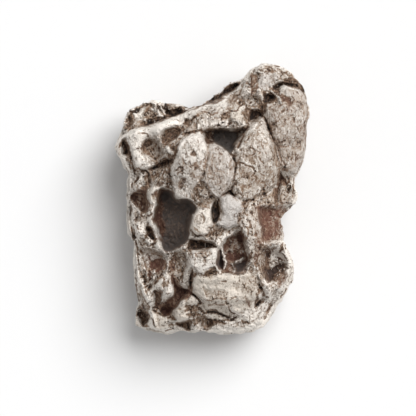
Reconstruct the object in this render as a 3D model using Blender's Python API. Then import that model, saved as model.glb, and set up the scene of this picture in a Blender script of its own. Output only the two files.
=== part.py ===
"""An iron meteorite lying on its back: one natural stone, in metres, +Z up.

X runs across the stone and Y along it. It rests on a small worn flat at Z = 0, and the
origin is in the middle of its footprint. The widest line round the stone is its belt:
above the belt is the crown, broken into plates, pits and ledges, and below it the belly.

Every outline is drawn on one sheet of squares, seen from above: a point is
(column, row), with columns counted to the right and rows counted down the sheet.
"""

import bmesh
import bpy
import numpy as np
from mathutils import Vector, noise

MM = 0.001

# ---------------------------------------------------------------- driving sizes
SQUARE = 0.25 * MM            # one square of the sheet; the outline is 196 by 272 squares
SHEET_MIDDLE = (212.0, 198.0)  # column and row that lie over the origin
FOOT_SINK = 0.5 * MM          # how far the belly would reach below the ground, before the flat
FOOT_CALM = 2.0 * MM          # the belly is smooth up to this height, round the flat
CROWN_FULLNESS = 5.0          # 2 is a dome, more is a flatter top with steeper sides
BELLY_FULLNESS = 2.2
LEVEL_BLEND = 2.2 * MM        # how softly one level of the crown runs into the next

CURVE_STEPS = 3               # points that a drawn curve gets between two corners
WORKING_VOXEL = 0.42 * MM     # spacing of the surface while it is being carved
TRIANGLES = 9500              # faces that the finished stone keeps

# Melted hollows round the flanks: (size, depth) of the large and of the small ones.
THUMBPRINTS = ((9.5 * MM, 2.2 * MM), (4.6 * MM, 0.9 * MM))
THUMBPRINT_EDGE = 0.4         # share of a hollow that its wall takes
LUMP = 3.4 * MM               # size and height of the rough lumps between them
LUMP_HEIGHT = 0.4 * MM
BELT_CALM = 3.0 * MM          # the hollows stay shallow this near to the belt
CROWN_RISE = 2.5 * MM         # height over which the flank gives way to the crown
WANDER = 2.6 * MM             # how often, and how far, a drawn edge wanders off its line
WANDER_REACH = 0.45 * MM

IRON_COLOUR = (0.40, 0.36, 0.32, 1.0)
IRON_ROUGHNESS = 0.62
IRON_METALLIC = 0.35

# ---------------------------------------------------------------- the outline
OUTLINE = [
    (114, 148), (120, 130), (121, 121), (128, 109), (142, 102), (164, 99), (178, 103),
    (190, 107), (200, 104), (212, 95), (220, 92), (226, 86), (234, 82), (244, 79),
    (248, 69), (260, 64), (267, 62), (280, 66), (293, 72), (300, 82), (308, 98),
    (310, 110), (308, 136), (308, 146), (304, 162), (295, 179), (298, 192), (297, 204),
    (289, 210), (282, 215), (283, 226), (285, 244), (294, 262), (296, 270), (289, 292),
    (277, 309), (270, 322), (260, 330), (246, 334), (226, 334.5), (205, 332.5),
    (186, 333), (166, 334.5), (150, 331), (134, 327), (132, 318), (138, 309),
    (138, 301), (134.5, 278), (134, 242), (127, 234), (125.5, 222), (125.5, 204),
    (126, 190), (126, 174), (121, 162),
]

# ---------------------------------------------------------------- levels, in millimetres
BELT_LEVELS = {
    "under the knob": (268, 62, 12.0),
    "right shoulder": (309, 112, 10.5),
    "right waist": (284, 216, 12.5),
    "right hip": (296, 268, 9.0),
    "lower right corner": (274, 314, 8.0),
    "lower edge": (215, 333, 9.5),
    "lower left nub": (133, 320, 7.5),
    "left flank": (134, 265, 9.0),
    "left bulge": (126, 205, 7.5),
    "left point": (114, 148, 11.0),
    "upper left lobe": (140, 102, 9.0),
    "upper notch": (196, 107, 12.0),
}

CROWN_LEVELS = {
    "knob": (268, 76, 20.5),
    "saddle below the knob": (252, 103, 22.0),
    "upper rim": (218, 113, 24.5),
    "upper notch": (180, 109, 18.5),
    "under the upper rim": (226, 88, 15.5),
    "under the upper rim, left": (208, 97, 15.5),
    "upper left lobe": (145, 112, 17.5),
    "ledge, right end": (200, 116, 24.0),
    "ledge, middle": (166, 132, 23.5),
    "ledge, left end": (136, 137, 20.5),
    "left shoulder": (142, 156, 21.5),
    "small stones": (140, 181, 20.5),
    "high plate": (190, 152, 27.0),
    "cracked plate": (219, 172, 27.0),
    "diamond plate": (256, 150, 26.6),
    "right plate": (289, 122, 24.6),
    "right plate, lower end": (292, 158, 22.5),
    "right corner": (288, 194, 20.0),
    "slate plate": (230, 210, 25.6),
    "nugget": (203, 222, 25.4),
    "great pit": (172, 218, 23.5),
    "left bulge": (134, 208, 18.0),
    "tongue": (146, 231, 21.0),
    "brown hollow": (152, 261, 20.5),
    "lower shelf": (206, 260, 24.6),
    "red hollow": (232, 252, 24.8),
    "grainy column": (249, 230, 25.0),
    "red flank": (272, 222, 21.5),
    "lip": (272, 244, 22.8),
    "side hollow": (272, 264, 21.5),
    "right hip": (289, 270, 18.5),
    "cream plate": (222, 288, 23.8),
    "lower right ridge": (262, 284, 21.6),
    "lower right corner": (268, 308, 16.5),
    "lower edge": (222, 326, 17.0),
    "trough": (176, 294, 21.0),
    "jagged plate": (187, 312, 19.5),
    "lower left hump": (160, 322, 16.0),
    "left crest": (144, 288, 18.5),
    "lower left nub": (137, 320, 11.5),
}

# ---------------------------------------------------------------- raised plates
# name: (height mm, width of the edge mm, outline)
PLATES = {
    "high plate": (1.5, 0.9, [
        (171, 166), (178, 159), (180, 152), (178, 147), (186, 138), (197, 135), (203, 137),
        (208, 149), (205, 160), (205, 170), (200, 180), (210, 194), (200, 203),
        (184, 198), (177, 197), (173, 180)]),
    "cracked plate": (1.6, 0.9, [
        (209, 148), (219, 146), (228, 154), (234, 168), (234, 180), (226, 192),
        (217, 199), (207, 188), (200, 180), (205, 168)]),
    "diamond plate": (1.5, 0.9, [
        (262, 117), (267, 130), (273, 144), (277, 168), (271, 188), (255, 197),
        (243, 201), (233, 190), (237, 165), (240, 146), (250, 131)]),
    "slate plate": (1.1, 0.8, [
        (220, 197), (230, 194), (242, 203), (238, 214), (236, 224), (226, 228),
        (216, 223), (223, 214)]),
    "nugget": (1.5, 1.0, [
        (199, 209), (210, 210), (213, 223), (207, 234), (195, 234), (191, 228), (193, 214)]),
    "right plate": (0.9, 1.0, [
        (265, 105), (280, 97), (285, 87), (303, 92), (310, 112), (308, 140), (300, 168),
        (281, 170), (276, 150), (270, 128)]),
    "left shoulder": (1.0, 0.9, [
        (128, 134), (140, 131), (145, 139), (141, 149), (148, 158), (152, 166), (136, 170),
        (133, 152)]),
    "upper rim": (0.9, 0.9, [
        (186, 112), (204, 106), (222, 103), (240, 108), (246, 122), (228, 131), (205, 130),
        (186, 132)]),
    "lower shelf": (1.2, 0.9, [
        (190, 251), (217, 248), (217, 270), (204, 273), (194, 268), (189, 261)]),
    "grainy column": (0.8, 1.0, [
        (243, 204), (256, 200), (258, 230), (262, 248), (256, 268), (249, 262), (247, 240),
        (240, 226)]),
    "cream plate": (0.9, 1.0, [
        (196, 277), (218, 272), (246, 273), (260, 276), (264, 290), (250, 300), (226, 300),
        (206, 300), (194, 290)]),
    "jagged plate": (1.2, 0.8, [
        (191, 296), (203, 303), (187, 306), (188, 318), (178, 320), (176, 309)]),
    "pale lump": (1.0, 0.9, [
        (158, 279), (170, 275), (174, 290), (163, 300), (156, 292)]),
    "lower left hump": (1.1, 1.0, [
        (156, 312), (168, 318), (170, 328), (156, 330), (151, 320)]),
    "cream block": (1.0, 0.7, [
        (231, 113), (240, 112), (242, 121), (232, 122)]),
}

# ---------------------------------------------------------------- pits and hollows
# name: (depth mm, width of the wall mm, outline)
HOLLOWS = {
    "great pit": (8.2, 1.8, [
        (160, 189), (170, 190), (177, 199), (190, 201), (197, 208), (192, 218),
        (188, 237), (182, 246), (166, 252), (160, 245), (156, 230), (152, 220),
        (155, 208)]),
    "upper pit": (7.6, 1.3, [
        (205, 131), (220, 130), (236, 130), (249, 125), (243, 134), (236, 144),
        (233, 152), (225, 151), (214, 144), (206, 144)]),
    "keyhole": (5.5, 0.8, [
        (217, 197), (219, 209), (218, 220), (213, 223), (210, 211)]),
    "red hollow": (4.8, 1.3, [
        (231, 234), (241, 230), (247, 246), (250, 260), (238, 273), (218, 270),
        (216, 256), (224, 240)]),
    "red flank": (2.4, 1.4, [
        (259, 207), (275, 205), (292, 207), (292, 238), (265, 242), (259, 228)]),
    "side hollow": (4.6, 2.6, [
        (262, 250), (275, 246), (283, 251), (286, 262), (279, 275), (269, 283),
        (261, 268)]),
    "trough": (4.2, 1.4, [
        (171, 275), (180, 284), (191, 289), (183, 300), (174, 312), (168, 316),
        (159, 311), (166, 299), (174, 290)]),
    "pocket by the high plate": (3.8, 1.2, [
        (163, 130), (172, 127), (182, 131), (178, 138), (166, 146), (160, 138)]),
    "shoulder hollow": (2.6, 1.3, [
        (148, 140), (157, 140), (165, 154), (158, 163), (148, 158), (142, 148)]),
    "crevice above the crescent": (3.2, 0.8, [
        (150, 168), (168, 158), (174, 161), (166, 168), (154, 171)]),
    "left pocket": (3.4, 1.2, [
        (122, 140), (129, 146), (130, 156), (122, 155)]),
    "pink hollow": (2.6, 1.4, [
        (132, 190), (147, 191), (151, 205), (142, 214), (131, 200)]),
    "hollow beside the tongue": (2.2, 1.0, [
        (146, 226), (155, 229), (158, 240), (148, 238)]),
    "brown hollow": (3.0, 1.4, [
        (140, 250), (160, 250), (167, 262), (156, 272), (145, 266)]),
    "shadow below the nugget": (3.2, 0.9, [
        (189, 238), (205, 240), (217, 245), (205, 250), (191, 249)]),
    "brown shelf": (1.7, 1.2, [
        (170, 253), (187, 252), (190, 263), (184, 274), (172, 272)]),
    "slot beside the shelf": (2.6, 0.7, [
        (193, 266), (194, 276), (192, 288), (188, 282), (190, 273)]),
    "cream plate, upper nick": (2.0, 0.7, [
        (203, 274), (211, 270), (218, 274), (210, 277)]),
    "cream plate, dish": (0.9, 2.0, [
        (204, 283), (230, 280), (240, 288), (226, 297), (206, 296)]),
    "lump hollow": (2.0, 1.0, [
        (155, 290), (164, 292), (163, 303), (155, 306)]),
    "lower left hollow": (3.0, 1.0, [
        (139, 305), (147, 312), (149, 322), (141, 324), (136, 314)]),
    "lower notch": (3.0, 1.1, [
        (175, 323), (191, 319), (190, 330), (180, 328)]),
    "lower notch, right": (2.4, 1.1, [
        (196, 317), (209, 316), (215, 325), (205, 330), (197, 323)]),
    "gap below the knob": (3.4, 1.1, [
        (272, 88), (281, 82), (302, 86), (303, 92), (287, 87), (277, 93)]),
    "gap beside the knob": (2.4, 1.0, [
        (265, 94), (276, 97), (275, 103), (262, 104)]),
    "upper overhang": (4.0, 1.2, [
        (203, 98), (222, 91), (240, 79), (240, 87), (226, 96), (208, 104)]),
    "saddle": (2.0, 1.6, [
        (241, 98), (264, 99), (263, 118), (250, 124), (243, 112)]),
    "saddle, deep corner": (2.2, 1.0, [
        (250, 110), (263, 112), (258, 121), (249, 124)]),
    "lobe hollow": (2.0, 1.0, [
        (165, 108), (178, 106), (192, 109), (182, 115), (167, 117)]),
    "lobe pocket": (2.2, 1.0, [
        (128, 114), (134, 121), (131, 129), (125, 126)]),
    "notch below the slate plate": (1.6, 0.8, [
        (226, 229), (240, 226), (241, 231), (228, 236)]),
    "right flank notch": (3.0, 1.0, [
        (277, 168), (284, 176), (281, 190), (276, 203), (273, 196), (277, 182)]),
}

# The whole upper left lobe lies below the long ledge.
LOBE_DROP = (3.2, 1.1, [
    (105, 150), (124, 137), (136, 130.5), (150, 127.5), (166, 123), (180, 115),
    (193, 111), (206, 105), (206, 90), (150, 85), (105, 110)])

# ---------------------------------------------------------------- lines
# name: (depth mm, width mm, line)
GROOVES = {
    "main crack": (3.2, 1.5, [(262, 116), (268, 128), (272, 139), (277, 150), (279, 164)]),
    "crack of the cracked plate": (2.4, 1.1, [
        (228, 153), (236, 162), (234, 175), (233, 184), (226, 193), (218, 199)]),
    "seam between the high plates": (1.6, 1.1, [
        (202, 134), (209, 149), (206, 163), (205, 174), (200, 180)]),
    "seam below the diamond": (2.0, 1.3, [(231, 192), (242, 201), (256, 198), (271, 190)]),
    "ledge below the diamond": (1.8, 1.1, [(243, 214), (246, 206), (254, 199)]),
    "foot of the ledge": (1.6, 1.6, [
        (126, 133), (142, 126), (158, 121.5), (172, 115.5), (186, 109), (200, 104)]),
    "lobe crease": (1.4, 1.1, [(163, 99), (165, 113)]),
    "left seam": (2.2, 1.3, [(130, 155), (133, 163), (136, 171), (146, 172)]),
    "between the small stones": (1.5, 1.1, [(140, 175), (133, 186)]),
    "seam above the pink hollow": (1.5, 1.1, [(148, 173), (150, 188), (147, 194)]),
    "bulge crevice": (2.4, 1.3, [(130, 198), (131, 212), (132, 224), (136, 237)]),
    "seam left of the nugget": (1.5, 1.1, [(190, 229), (195, 236), (202, 237)]),
    "lower blade": (1.7, 1.1, [(190, 291), (199, 300), (208, 312)]),
    "lower shelf line": (1.4, 1.1, [(209, 311), (222, 314), (231, 319), (238, 316)]),
    "lower right seam": (1.6, 1.2, [(258, 284), (263, 294), (256, 306)]),
    "lower right notch": (1.6, 1.3, [(271, 303), (266, 312), (264, 319)]),
    "hip seam": (1.3, 1.2, [(284, 182), (291, 192), (286, 203)]),
    "crest crevice": (1.4, 1.2, [(136, 240), (142, 258), (147, 271)]),
}

# name: (height mm, width mm, line)
RIDGES = {
    "ledge crest": (1.0, 3.2, [
        (126, 138), (136, 134), (150, 131), (166, 127), (180, 119), (193, 114)]),
    "crescent": (1.7, 3.4, [(168, 178), (158, 184), (150, 193), (151, 203), (152, 214)]),
    "left rim of the great pit": (1.2, 1.9, [
        (150, 220), (154, 230), (158, 241), (163, 252), (172, 252), (184, 246)]),
    "tongue": (1.1, 3.0, [(134, 212), (133, 224), (140, 232), (150, 236)]),
    "bulge edge": (1.2, 2.4, [(128, 199), (136, 207), (142, 217)]),
    "vein of the red hollow": (1.6, 1.3, [(223, 249), (225, 268)]),
    "cross ridge": (1.2, 1.7, [(214, 239), (222, 246), (230, 235)]),
    "lip": (1.3, 2.2, [(261, 245), (270, 246), (283, 240)]),
    "hip rim": (1.0, 2.2, [(284, 250), (290, 262), (286, 276), (278, 288)]),
    "lower right ridge": (1.3, 2.2, [(256, 268), (264, 282), (269, 296)]),
    "ridge above the trough": (1.1, 1.8, [(191, 265), (186, 275), (183, 285)]),
    "left crest": (1.4, 2.6, [(138, 276), (145, 292), (152, 312), (155, 326)]),
    "lower layer": (0.9, 1.8, [(208, 305), (224, 304), (238, 312)]),
    "knob streak": (1.0, 3.0, [(258, 66), (262, 80), (258, 92)]),
    "corner stones": (1.0, 3.0, [(290, 184), (296, 194), (290, 204)]),
}


# ---------------------------------------------------------------- drawing helpers
def on_sheet(points):
    """Sheet columns and rows as X and Y in metres."""
    columns, rows = np.array(points, dtype=float).T
    middle_column, middle_row = SHEET_MIDDLE
    return np.column_stack(((columns - middle_column) * SQUARE, (middle_row - rows) * SQUARE))


def rounded(corners, closed):
    """A Catmull-Rom curve through the drawn corners, CURVE_STEPS points to a side."""
    before = np.roll(corners, 1, axis=0)
    after = np.roll(corners, -1, axis=0)
    if not closed:
        before[0], after[-1] = corners[0], corners[-1]
    pull = 0.5 * (after - before)
    ends = after if closed else corners[1:]
    curve = []
    for index, end in enumerate(ends):
        start = corners[index]
        pull_in = pull[(index + 1) % len(corners)]
        for t in np.arange(CURVE_STEPS) / CURVE_STEPS:
            curve.append(
                (2 * t**3 - 3 * t**2 + 1) * start + (t**3 - 2 * t**2 + t) * pull[index]
                + (3 * t**2 - 2 * t**3) * end + (t**3 - t**2) * pull_in)
    if not closed:
        curve.append(corners[-1])
    return np.array(curve)


def soft_step(values):
    """0 below 0 and 1 above 1, with a soft run between."""
    clipped = np.clip(values, 0.0, 1.0)
    return clipped * clipped * (3.0 - 2.0 * clipped)


def distance_to_line(places, line, closed=False):
    """Shortest distance in plan from each place to a drawn line."""
    ends = np.roll(line, -1, axis=0) if closed else line[1:]
    starts = line if closed else line[:-1]
    nearest = np.full(len(places), np.inf)
    for start, end in zip(starts, ends):
        run = end - start
        along = np.clip((places - start) @ run / (run @ run), 0.0, 1.0)
        gap = places - start - along[:, None] * run
        nearest = np.minimum(nearest, np.hypot(gap[:, 0], gap[:, 1]))
    return nearest


def depth_inside(places, outline):
    """Distance to an outline in plan, positive inside it."""
    inside = np.zeros(len(places), dtype=bool)
    for (x0, y0), (x1, y1) in zip(outline, np.roll(outline, -1, axis=0)):
        if y0 == y1:
            continue
        crosses = (places[:, 1] < y0) != (places[:, 1] < y1)
        inside ^= crosses & (places[:, 0] < x0 + (places[:, 1] - y0) * (x1 - x0) / (y1 - y0))
    return np.where(inside, 1.0, -1.0) * distance_to_line(places, outline, closed=True)


def blended_level(places, levels):
    """Height at each place, blended from named levels, the nearest counting most."""
    total = np.zeros(len(places))
    weights = np.zeros(len(places))
    for column, row, level in levels.values():
        away = places - on_sheet([(column, row)])
        weight = 1.0 / (np.sum(away * away, axis=1) + LEVEL_BLEND**2) ** 2
        total += weight * level * MM
        weights += weight
    return total / weights


# ---------------------------------------------------------------- the rough form
def outline_reach(angles):
    """How far the outline lies from the middle of the sheet, at each angle."""
    corners = on_sheet(OUTLINE)
    corner_angles = np.unwrap(np.arctan2(corners[:, 1], corners[:, 0]))
    order = np.argsort(corner_angles)
    reach = np.hypot(corners[:, 0], corners[:, 1])[order]
    return np.interp(angles, corner_angles[order], reach, period=2 * np.pi)


def full_round(across, up, fullness):
    """A unit direction carried out to a full-sided round, as (across, up)."""
    stretch = (across**fullness + up**fullness) ** (-1.0 / fullness)
    return across * stretch, up * stretch


def rough_form():
    """The stone before carving: outline, belt, crown levels and belly."""
    mesh = bpy.data.meshes.new("meteorite")
    shell = bmesh.new()
    bmesh.ops.create_icosphere(shell, subdivisions=7, radius=1.0)
    shell.to_mesh(mesh)
    shell.free()

    directions = vertex_places(mesh)
    angles = np.arctan2(directions[:, 1], directions[:, 0])
    across = np.hypot(directions[:, 0], directions[:, 1])
    up = np.abs(directions[:, 2])
    is_crown = directions[:, 2] >= 0.0
    crown_across, crown_up = full_round(across, up, CROWN_FULLNESS)
    belly_across, belly_up = full_round(across, up, BELLY_FULLNESS)

    reach = outline_reach(angles)
    headings = np.column_stack((np.cos(angles), np.sin(angles)))
    belt = blended_level(headings * reach[:, None], BELT_LEVELS)
    plan = headings * (reach * np.where(is_crown, crown_across, belly_across))[:, None]
    crown = blended_level(plan, CROWN_LEVELS)
    heights = np.where(
        is_crown,
        belt + (crown - belt) * crown_up,
        belt - (belt + FOOT_SINK) * belly_up,
    )
    set_vertex_places(mesh, np.column_stack((plan, heights)))

    stone = bpy.data.objects.new("meteorite", mesh)
    bpy.context.scene.collection.objects.link(stone)
    return stone


# ---------------------------------------------------------------- mesh helpers
def vertex_places(mesh):
    places = np.empty(len(mesh.vertices) * 3)
    mesh.vertices.foreach_get("co", places)
    return places.reshape(-1, 3)


def vertex_normals(mesh):
    normals = np.empty(len(mesh.vertices) * 3)
    mesh.vertex_normals.foreach_get("vector", normals)
    return normals.reshape(-1, 3)


def set_vertex_places(mesh, places):
    mesh.vertices.foreach_set("co", places.ravel())
    mesh.update()


def settle_modifiers(stone):
    """Replace the mesh with what its modifiers give, and clear them."""
    evaluated = stone.evaluated_get(bpy.context.evaluated_depsgraph_get())
    mesh = bpy.data.meshes.new_from_object(evaluated)
    stone.modifiers.clear()
    stone.data = mesh


# ---------------------------------------------------------------- carving
def crown_share(stone):
    """1 on the open crown, 0 on the flanks and the belly."""
    places = vertex_places(stone.data)
    belt = blended_level(places[:, :2], BELT_LEVELS)
    facing_up = soft_step((vertex_normals(stone.data)[:, 2] - 0.1) / 0.4)
    return facing_up * soft_step((places[:, 2] - belt - 0.5 * MM) / CROWN_RISE)


def roughen(stone, crown):
    """Thumbprint hollows and lumps round the flanks and the belly."""
    mesh = stone.data
    places = vertex_places(mesh)
    normals = vertex_normals(mesh)
    spots = [Vector(place) for place in places]
    hollow = np.zeros(len(places))
    for size, depth in THUMBPRINTS:
        cells = [noise.voronoi(spot / size)[0] for spot in spots]
        from_wall = np.array([second - first for first, second, *_ in cells])
        hollow += depth * soft_step(from_wall / THUMBPRINT_EDGE)
    lumps = np.array([noise.fractal(spot / LUMP, 0.8, 2.2, 3) for spot in spots])

    flank = 1.0 - crown
    belt = blended_level(places[:, :2], BELT_LEVELS)
    off_belt = soft_step(np.abs(places[:, 2] - belt) / BELT_CALM)
    off_ground = soft_step((places[:, 2] - 0.2 * FOOT_CALM) / FOOT_CALM)
    hollow *= flank * (0.2 + 0.8 * off_belt)
    lump = LUMP_HEIGHT * np.clip(lumps, -1.0, 1.0) * (0.5 + 0.5 * flank)
    set_vertex_places(mesh, places + normals * ((lump - hollow) * off_ground)[:, None])


def wandering(plan):
    """Plan places nudged by a smooth noise, so that a drawn edge breaks up like rock."""
    nudges = [noise.noise_vector(Vector((x, y, 0.0)) / WANDER) for x, y in plan]
    return plan + WANDER_REACH * np.array(nudges)[:, :2]


def carve_crown(stone, crown):
    """Plates, pits, cracks and ridges, pressed straight down or pulled straight up."""
    mesh = stone.data
    places = vertex_places(mesh)
    plan = wandering(places[:, :2])
    lift = np.zeros(len(places))

    for height, edge, outline in PLATES.values():
        inside = depth_inside(plan, rounded(on_sheet(outline), closed=True))
        lift += height * MM * soft_step(0.5 + inside / (edge * MM))
    for depth, wall, outline in [LOBE_DROP, *HOLLOWS.values()]:
        inside = depth_inside(plan, rounded(on_sheet(outline), closed=True))
        lift -= depth * MM * soft_step(0.25 + inside / (wall * MM))
    for sign, lines in ((-1.0, GROOVES), (1.0, RIDGES)):
        for amount, width, line in lines.values():
            away = distance_to_line(plan, rounded(on_sheet(line), closed=False))
            lift += sign * amount * MM * soft_step(1.0 - away / (0.5 * width * MM))

    places[:, 2] += lift * crown
    set_vertex_places(mesh, places)


def thin_faces(stone):
    """Keep only the faces that the form needs."""
    triangles = sum(len(face.vertices) - 2 for face in stone.data.polygons)
    thin = stone.modifiers.new("Thin", "DECIMATE")
    thin.decimate_type = "COLLAPSE"
    thin.ratio = TRIANGLES / triangles
    thin.use_collapse_triangulate = True
    settle_modifiers(stone)


def cut_foot(stone):
    """The worn flat that the stone rests on, at Z = 0."""
    shell = bmesh.new()
    shell.from_mesh(stone.data)
    everything = [*shell.verts, *shell.edges, *shell.faces]
    cut = bmesh.ops.bisect_plane(
        shell, geom=everything, dist=0.01 * MM, plane_co=(0, 0, 0), plane_no=(0, 0, -1),
        clear_outer=True)
    rim = [item for item in cut["geom_cut"] if isinstance(item, bmesh.types.BMEdge)]
    for corner in {corner for edge in rim for corner in edge.verts}:
        corner.co.z = 0.0
    bmesh.ops.holes_fill(shell, edges=rim, sides=0)
    bmesh.ops.triangulate(shell, faces=[face for face in shell.faces if len(face.verts) > 3])
    bmesh.ops.recalc_face_normals(shell, faces=shell.faces)
    shell.to_mesh(stone.data)
    shell.free()
    stone.data.update()


# ---------------------------------------------------------------- material
def iron():
    """Weathered iron crust."""
    material = bpy.data.materials.new("weathered iron")
    material.use_nodes = True
    surface = material.node_tree.nodes["Principled BSDF"]
    surface.inputs["Base Color"].default_value = IRON_COLOUR
    surface.inputs["Roughness"].default_value = IRON_ROUGHNESS
    surface.inputs["Metallic"].default_value = IRON_METALLIC
    return material


def build():
    for item in list(bpy.data.objects):
        bpy.data.objects.remove(item, do_unlink=True)

    stone = rough_form()
    voxels = stone.modifiers.new("Even surface", "REMESH")
    voxels.mode = "VOXEL"
    voxels.voxel_size = WORKING_VOXEL
    settle_modifiers(stone)
    crown = crown_share(stone)
    roughen(stone, crown)
    carve_crown(stone, crown)
    thin_faces(stone)
    cut_foot(stone)
    stone.data.name = "meteorite"
    stone.data.materials.append(iron())


build()
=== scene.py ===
# %% [markdown]
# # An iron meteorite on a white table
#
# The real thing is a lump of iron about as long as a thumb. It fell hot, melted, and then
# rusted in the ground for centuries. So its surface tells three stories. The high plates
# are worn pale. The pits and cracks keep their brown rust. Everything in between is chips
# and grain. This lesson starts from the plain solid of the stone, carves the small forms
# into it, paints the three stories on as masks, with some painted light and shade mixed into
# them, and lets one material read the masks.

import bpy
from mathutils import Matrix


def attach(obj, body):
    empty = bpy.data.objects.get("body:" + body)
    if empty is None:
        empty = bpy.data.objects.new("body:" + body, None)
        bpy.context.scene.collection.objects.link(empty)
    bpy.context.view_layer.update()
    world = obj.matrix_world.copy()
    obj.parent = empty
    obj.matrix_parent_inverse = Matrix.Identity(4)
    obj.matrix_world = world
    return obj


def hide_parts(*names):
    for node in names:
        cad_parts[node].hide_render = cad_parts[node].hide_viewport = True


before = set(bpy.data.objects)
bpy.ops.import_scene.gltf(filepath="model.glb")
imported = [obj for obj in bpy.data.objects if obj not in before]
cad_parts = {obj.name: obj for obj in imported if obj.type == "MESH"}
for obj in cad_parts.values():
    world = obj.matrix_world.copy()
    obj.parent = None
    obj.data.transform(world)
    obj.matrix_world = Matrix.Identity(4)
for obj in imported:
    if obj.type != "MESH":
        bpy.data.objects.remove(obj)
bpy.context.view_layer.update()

# %% [markdown]
# Everything is drawn on one sheet of squares, as seen from above. A place on the sheet is
# (column, row): columns are counted to the right and rows down the sheet. A drawing can be
# made with empties or curves placed by hand, but a sheet of squares keeps every outline
# next to its name, and it is easy to read and to correct.

# %% The drawing sheet
import math

import bpy
import numpy as np
from mathutils import Vector, noise

MM = 0.001
SQUARE = 0.25 * MM
SHEET_MIDDLE = (212.0, 198.0)  # the square that lies over the origin
PICTURE_SQUARES = 416
PICTURE_MIDDLE = (208.0, 208.0)


def on_sheet(points):
    """Sheet columns and rows as X and Y in metres."""
    columns, rows = np.array(points, dtype=float).T
    x = (columns - SHEET_MIDDLE[0]) * SQUARE
    y = (SHEET_MIDDLE[1] - rows) * SQUARE
    return np.column_stack((x, y))


print("one square is", SQUARE * 1000, "mm")

# %% [markdown]
# The camera hangs straight above the stone. A long lens from far away keeps the sides from
# spreading, so the outline stays as it was drawn. The lens is worked out from the width
# that has to fit in the picture.

# %% Camera
CAMERA_HEIGHT = 1.5
BELT_LEVEL = 10 * MM  # height of the stone's widest line
SENSOR = 36.0

picture_x, picture_y = on_sheet([PICTURE_MIDDLE])[0]
bpy.ops.object.select_all(action="DESELECT")
bpy.ops.object.camera_add(location=(picture_x, picture_y, CAMERA_HEIGHT), rotation=(0, 0, 0))
camera = bpy.context.object
camera.name = "overhead_camera"
camera.data.sensor_width = SENSOR
camera.data.lens = SENSOR * (CAMERA_HEIGHT - BELT_LEVEL) / (PICTURE_SQUARES * SQUARE)
camera.data.clip_end = 20.0
bpy.context.scene.camera = camera
print("lens:", round(camera.data.lens), "mm")

# %% [markdown]
# The table is a plain pale sheet. One broad, soft lamp stands to the upper right, which
# lays a soft shadow to the left and below. A sun lamp with a wide angle does that, and it
# lights near and far floor alike. A white sky fills the shadows.

# %% Table and light
TABLE_SIZE = 6.0
TABLE_COLOUR = (0.86, 0.86, 0.86, 1.0)
TABLE_ROUGHNESS = 0.9
LAMP_STRENGTH = 3.08
LAMP_SPREAD = math.radians(46.0)
LAMP_FROM = Vector((0.58, 0.62, 1.0))
SKY_STRENGTH = 0.415

bpy.ops.object.select_all(action="DESELECT")
bpy.ops.mesh.primitive_plane_add(size=TABLE_SIZE, location=(0, 0, 0))
table = bpy.context.object
table.name = "table"
table_paint = bpy.data.materials.new("table_paint")
table_paint.use_nodes = True
table_paint.node_tree.nodes["Principled BSDF"].inputs["Base Color"].default_value = TABLE_COLOUR
table_paint.node_tree.nodes["Principled BSDF"].inputs["Roughness"].default_value = TABLE_ROUGHNESS
table.data.materials.append(table_paint)

bpy.ops.object.select_all(action="DESELECT")
bpy.ops.object.light_add(type="SUN", location=LAMP_FROM)
lamp = bpy.context.object
lamp.name = "broad_lamp"
lamp.rotation_euler = LAMP_FROM.to_track_quat("Z", "Y").to_euler()
lamp.data.energy = LAMP_STRENGTH
lamp.data.angle = LAMP_SPREAD

sky = bpy.data.worlds.new("white_sky")
bpy.context.scene.world = sky
sky.use_nodes = True
sky.node_tree.nodes["Background"].inputs["Color"].default_value = (1, 1, 1, 1)
sky.node_tree.nodes["Background"].inputs["Strength"].default_value = SKY_STRENGTH
bpy.context.scene.view_settings.view_transform = "Standard"
print("lamp", LAMP_STRENGTH, "sky", SKY_STRENGTH)

# %% [markdown]
# The stone starts as a copy of the plain solid. The copy's faces come apart, so its corners
# are merged first. A sculptor would then remesh it, which gives the whole surface small
# even squares, and smooth it, which takes the flat facets off. After that there is enough
# mesh everywhere to carve. The drawings only touch the crown, so the flanks and the belly
# can do with fewer faces. Decimate takes them away there, and the crown keeps all of its own.

# %% Fine mesh for the stone
VOXEL = 0.21 * MM
MERGE_WITHIN = 0.001 * MM
FACET_STROKES = 6
FLANK_BELOW = 0.25  # a face that looks up less than this is on a flank or on the belly
FLANK_SHARE = 0.22

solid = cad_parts["meteorite"]
stone = bpy.data.objects.new("meteorite_stone", solid.data.copy())
bpy.context.scene.collection.objects.link(stone)


def take(piece):
    """Make this piece the only one that is selected, and the active one."""
    bpy.ops.object.select_all(action="DESELECT")
    piece.select_set(True)
    bpy.context.view_layer.objects.active = piece


def finish_with(kind, **settings):
    """Add a modifier to the active piece, set it, and apply it."""
    bpy.ops.object.modifier_add(type=kind)
    modifier = bpy.context.object.modifiers[-1]
    for name, value in settings.items():
        setattr(modifier, name, value)
    bpy.ops.object.modifier_apply(modifier=modifier.name)


take(stone)
stone.data.materials.clear()
bpy.ops.object.mode_set(mode="EDIT")
bpy.ops.mesh.select_all(action="SELECT")
bpy.ops.mesh.remove_doubles(threshold=MERGE_WITHIN)
bpy.ops.object.mode_set(mode="OBJECT")
finish_with("REMESH", mode="VOXEL", voxel_size=VOXEL)
finish_with("SMOOTH", iterations=FACET_STROKES)
all_corners = len(stone.data.vertices)
bpy.ops.object.mode_set(mode="EDIT")
bpy.ops.mesh.select_mode(type="FACE")
bpy.ops.mesh.select_all(action="DESELECT")
bpy.ops.object.mode_set(mode="OBJECT")
stone.data.polygons.foreach_set(
    "select", [face.normal.z < FLANK_BELOW for face in stone.data.polygons])
bpy.ops.object.mode_set(mode="EDIT")
bpy.ops.mesh.decimate(ratio=FLANK_SHARE)
bpy.ops.object.mode_set(mode="OBJECT")
print("corners to carve:", all_corners, "->", len(stone.data.vertices))

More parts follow.
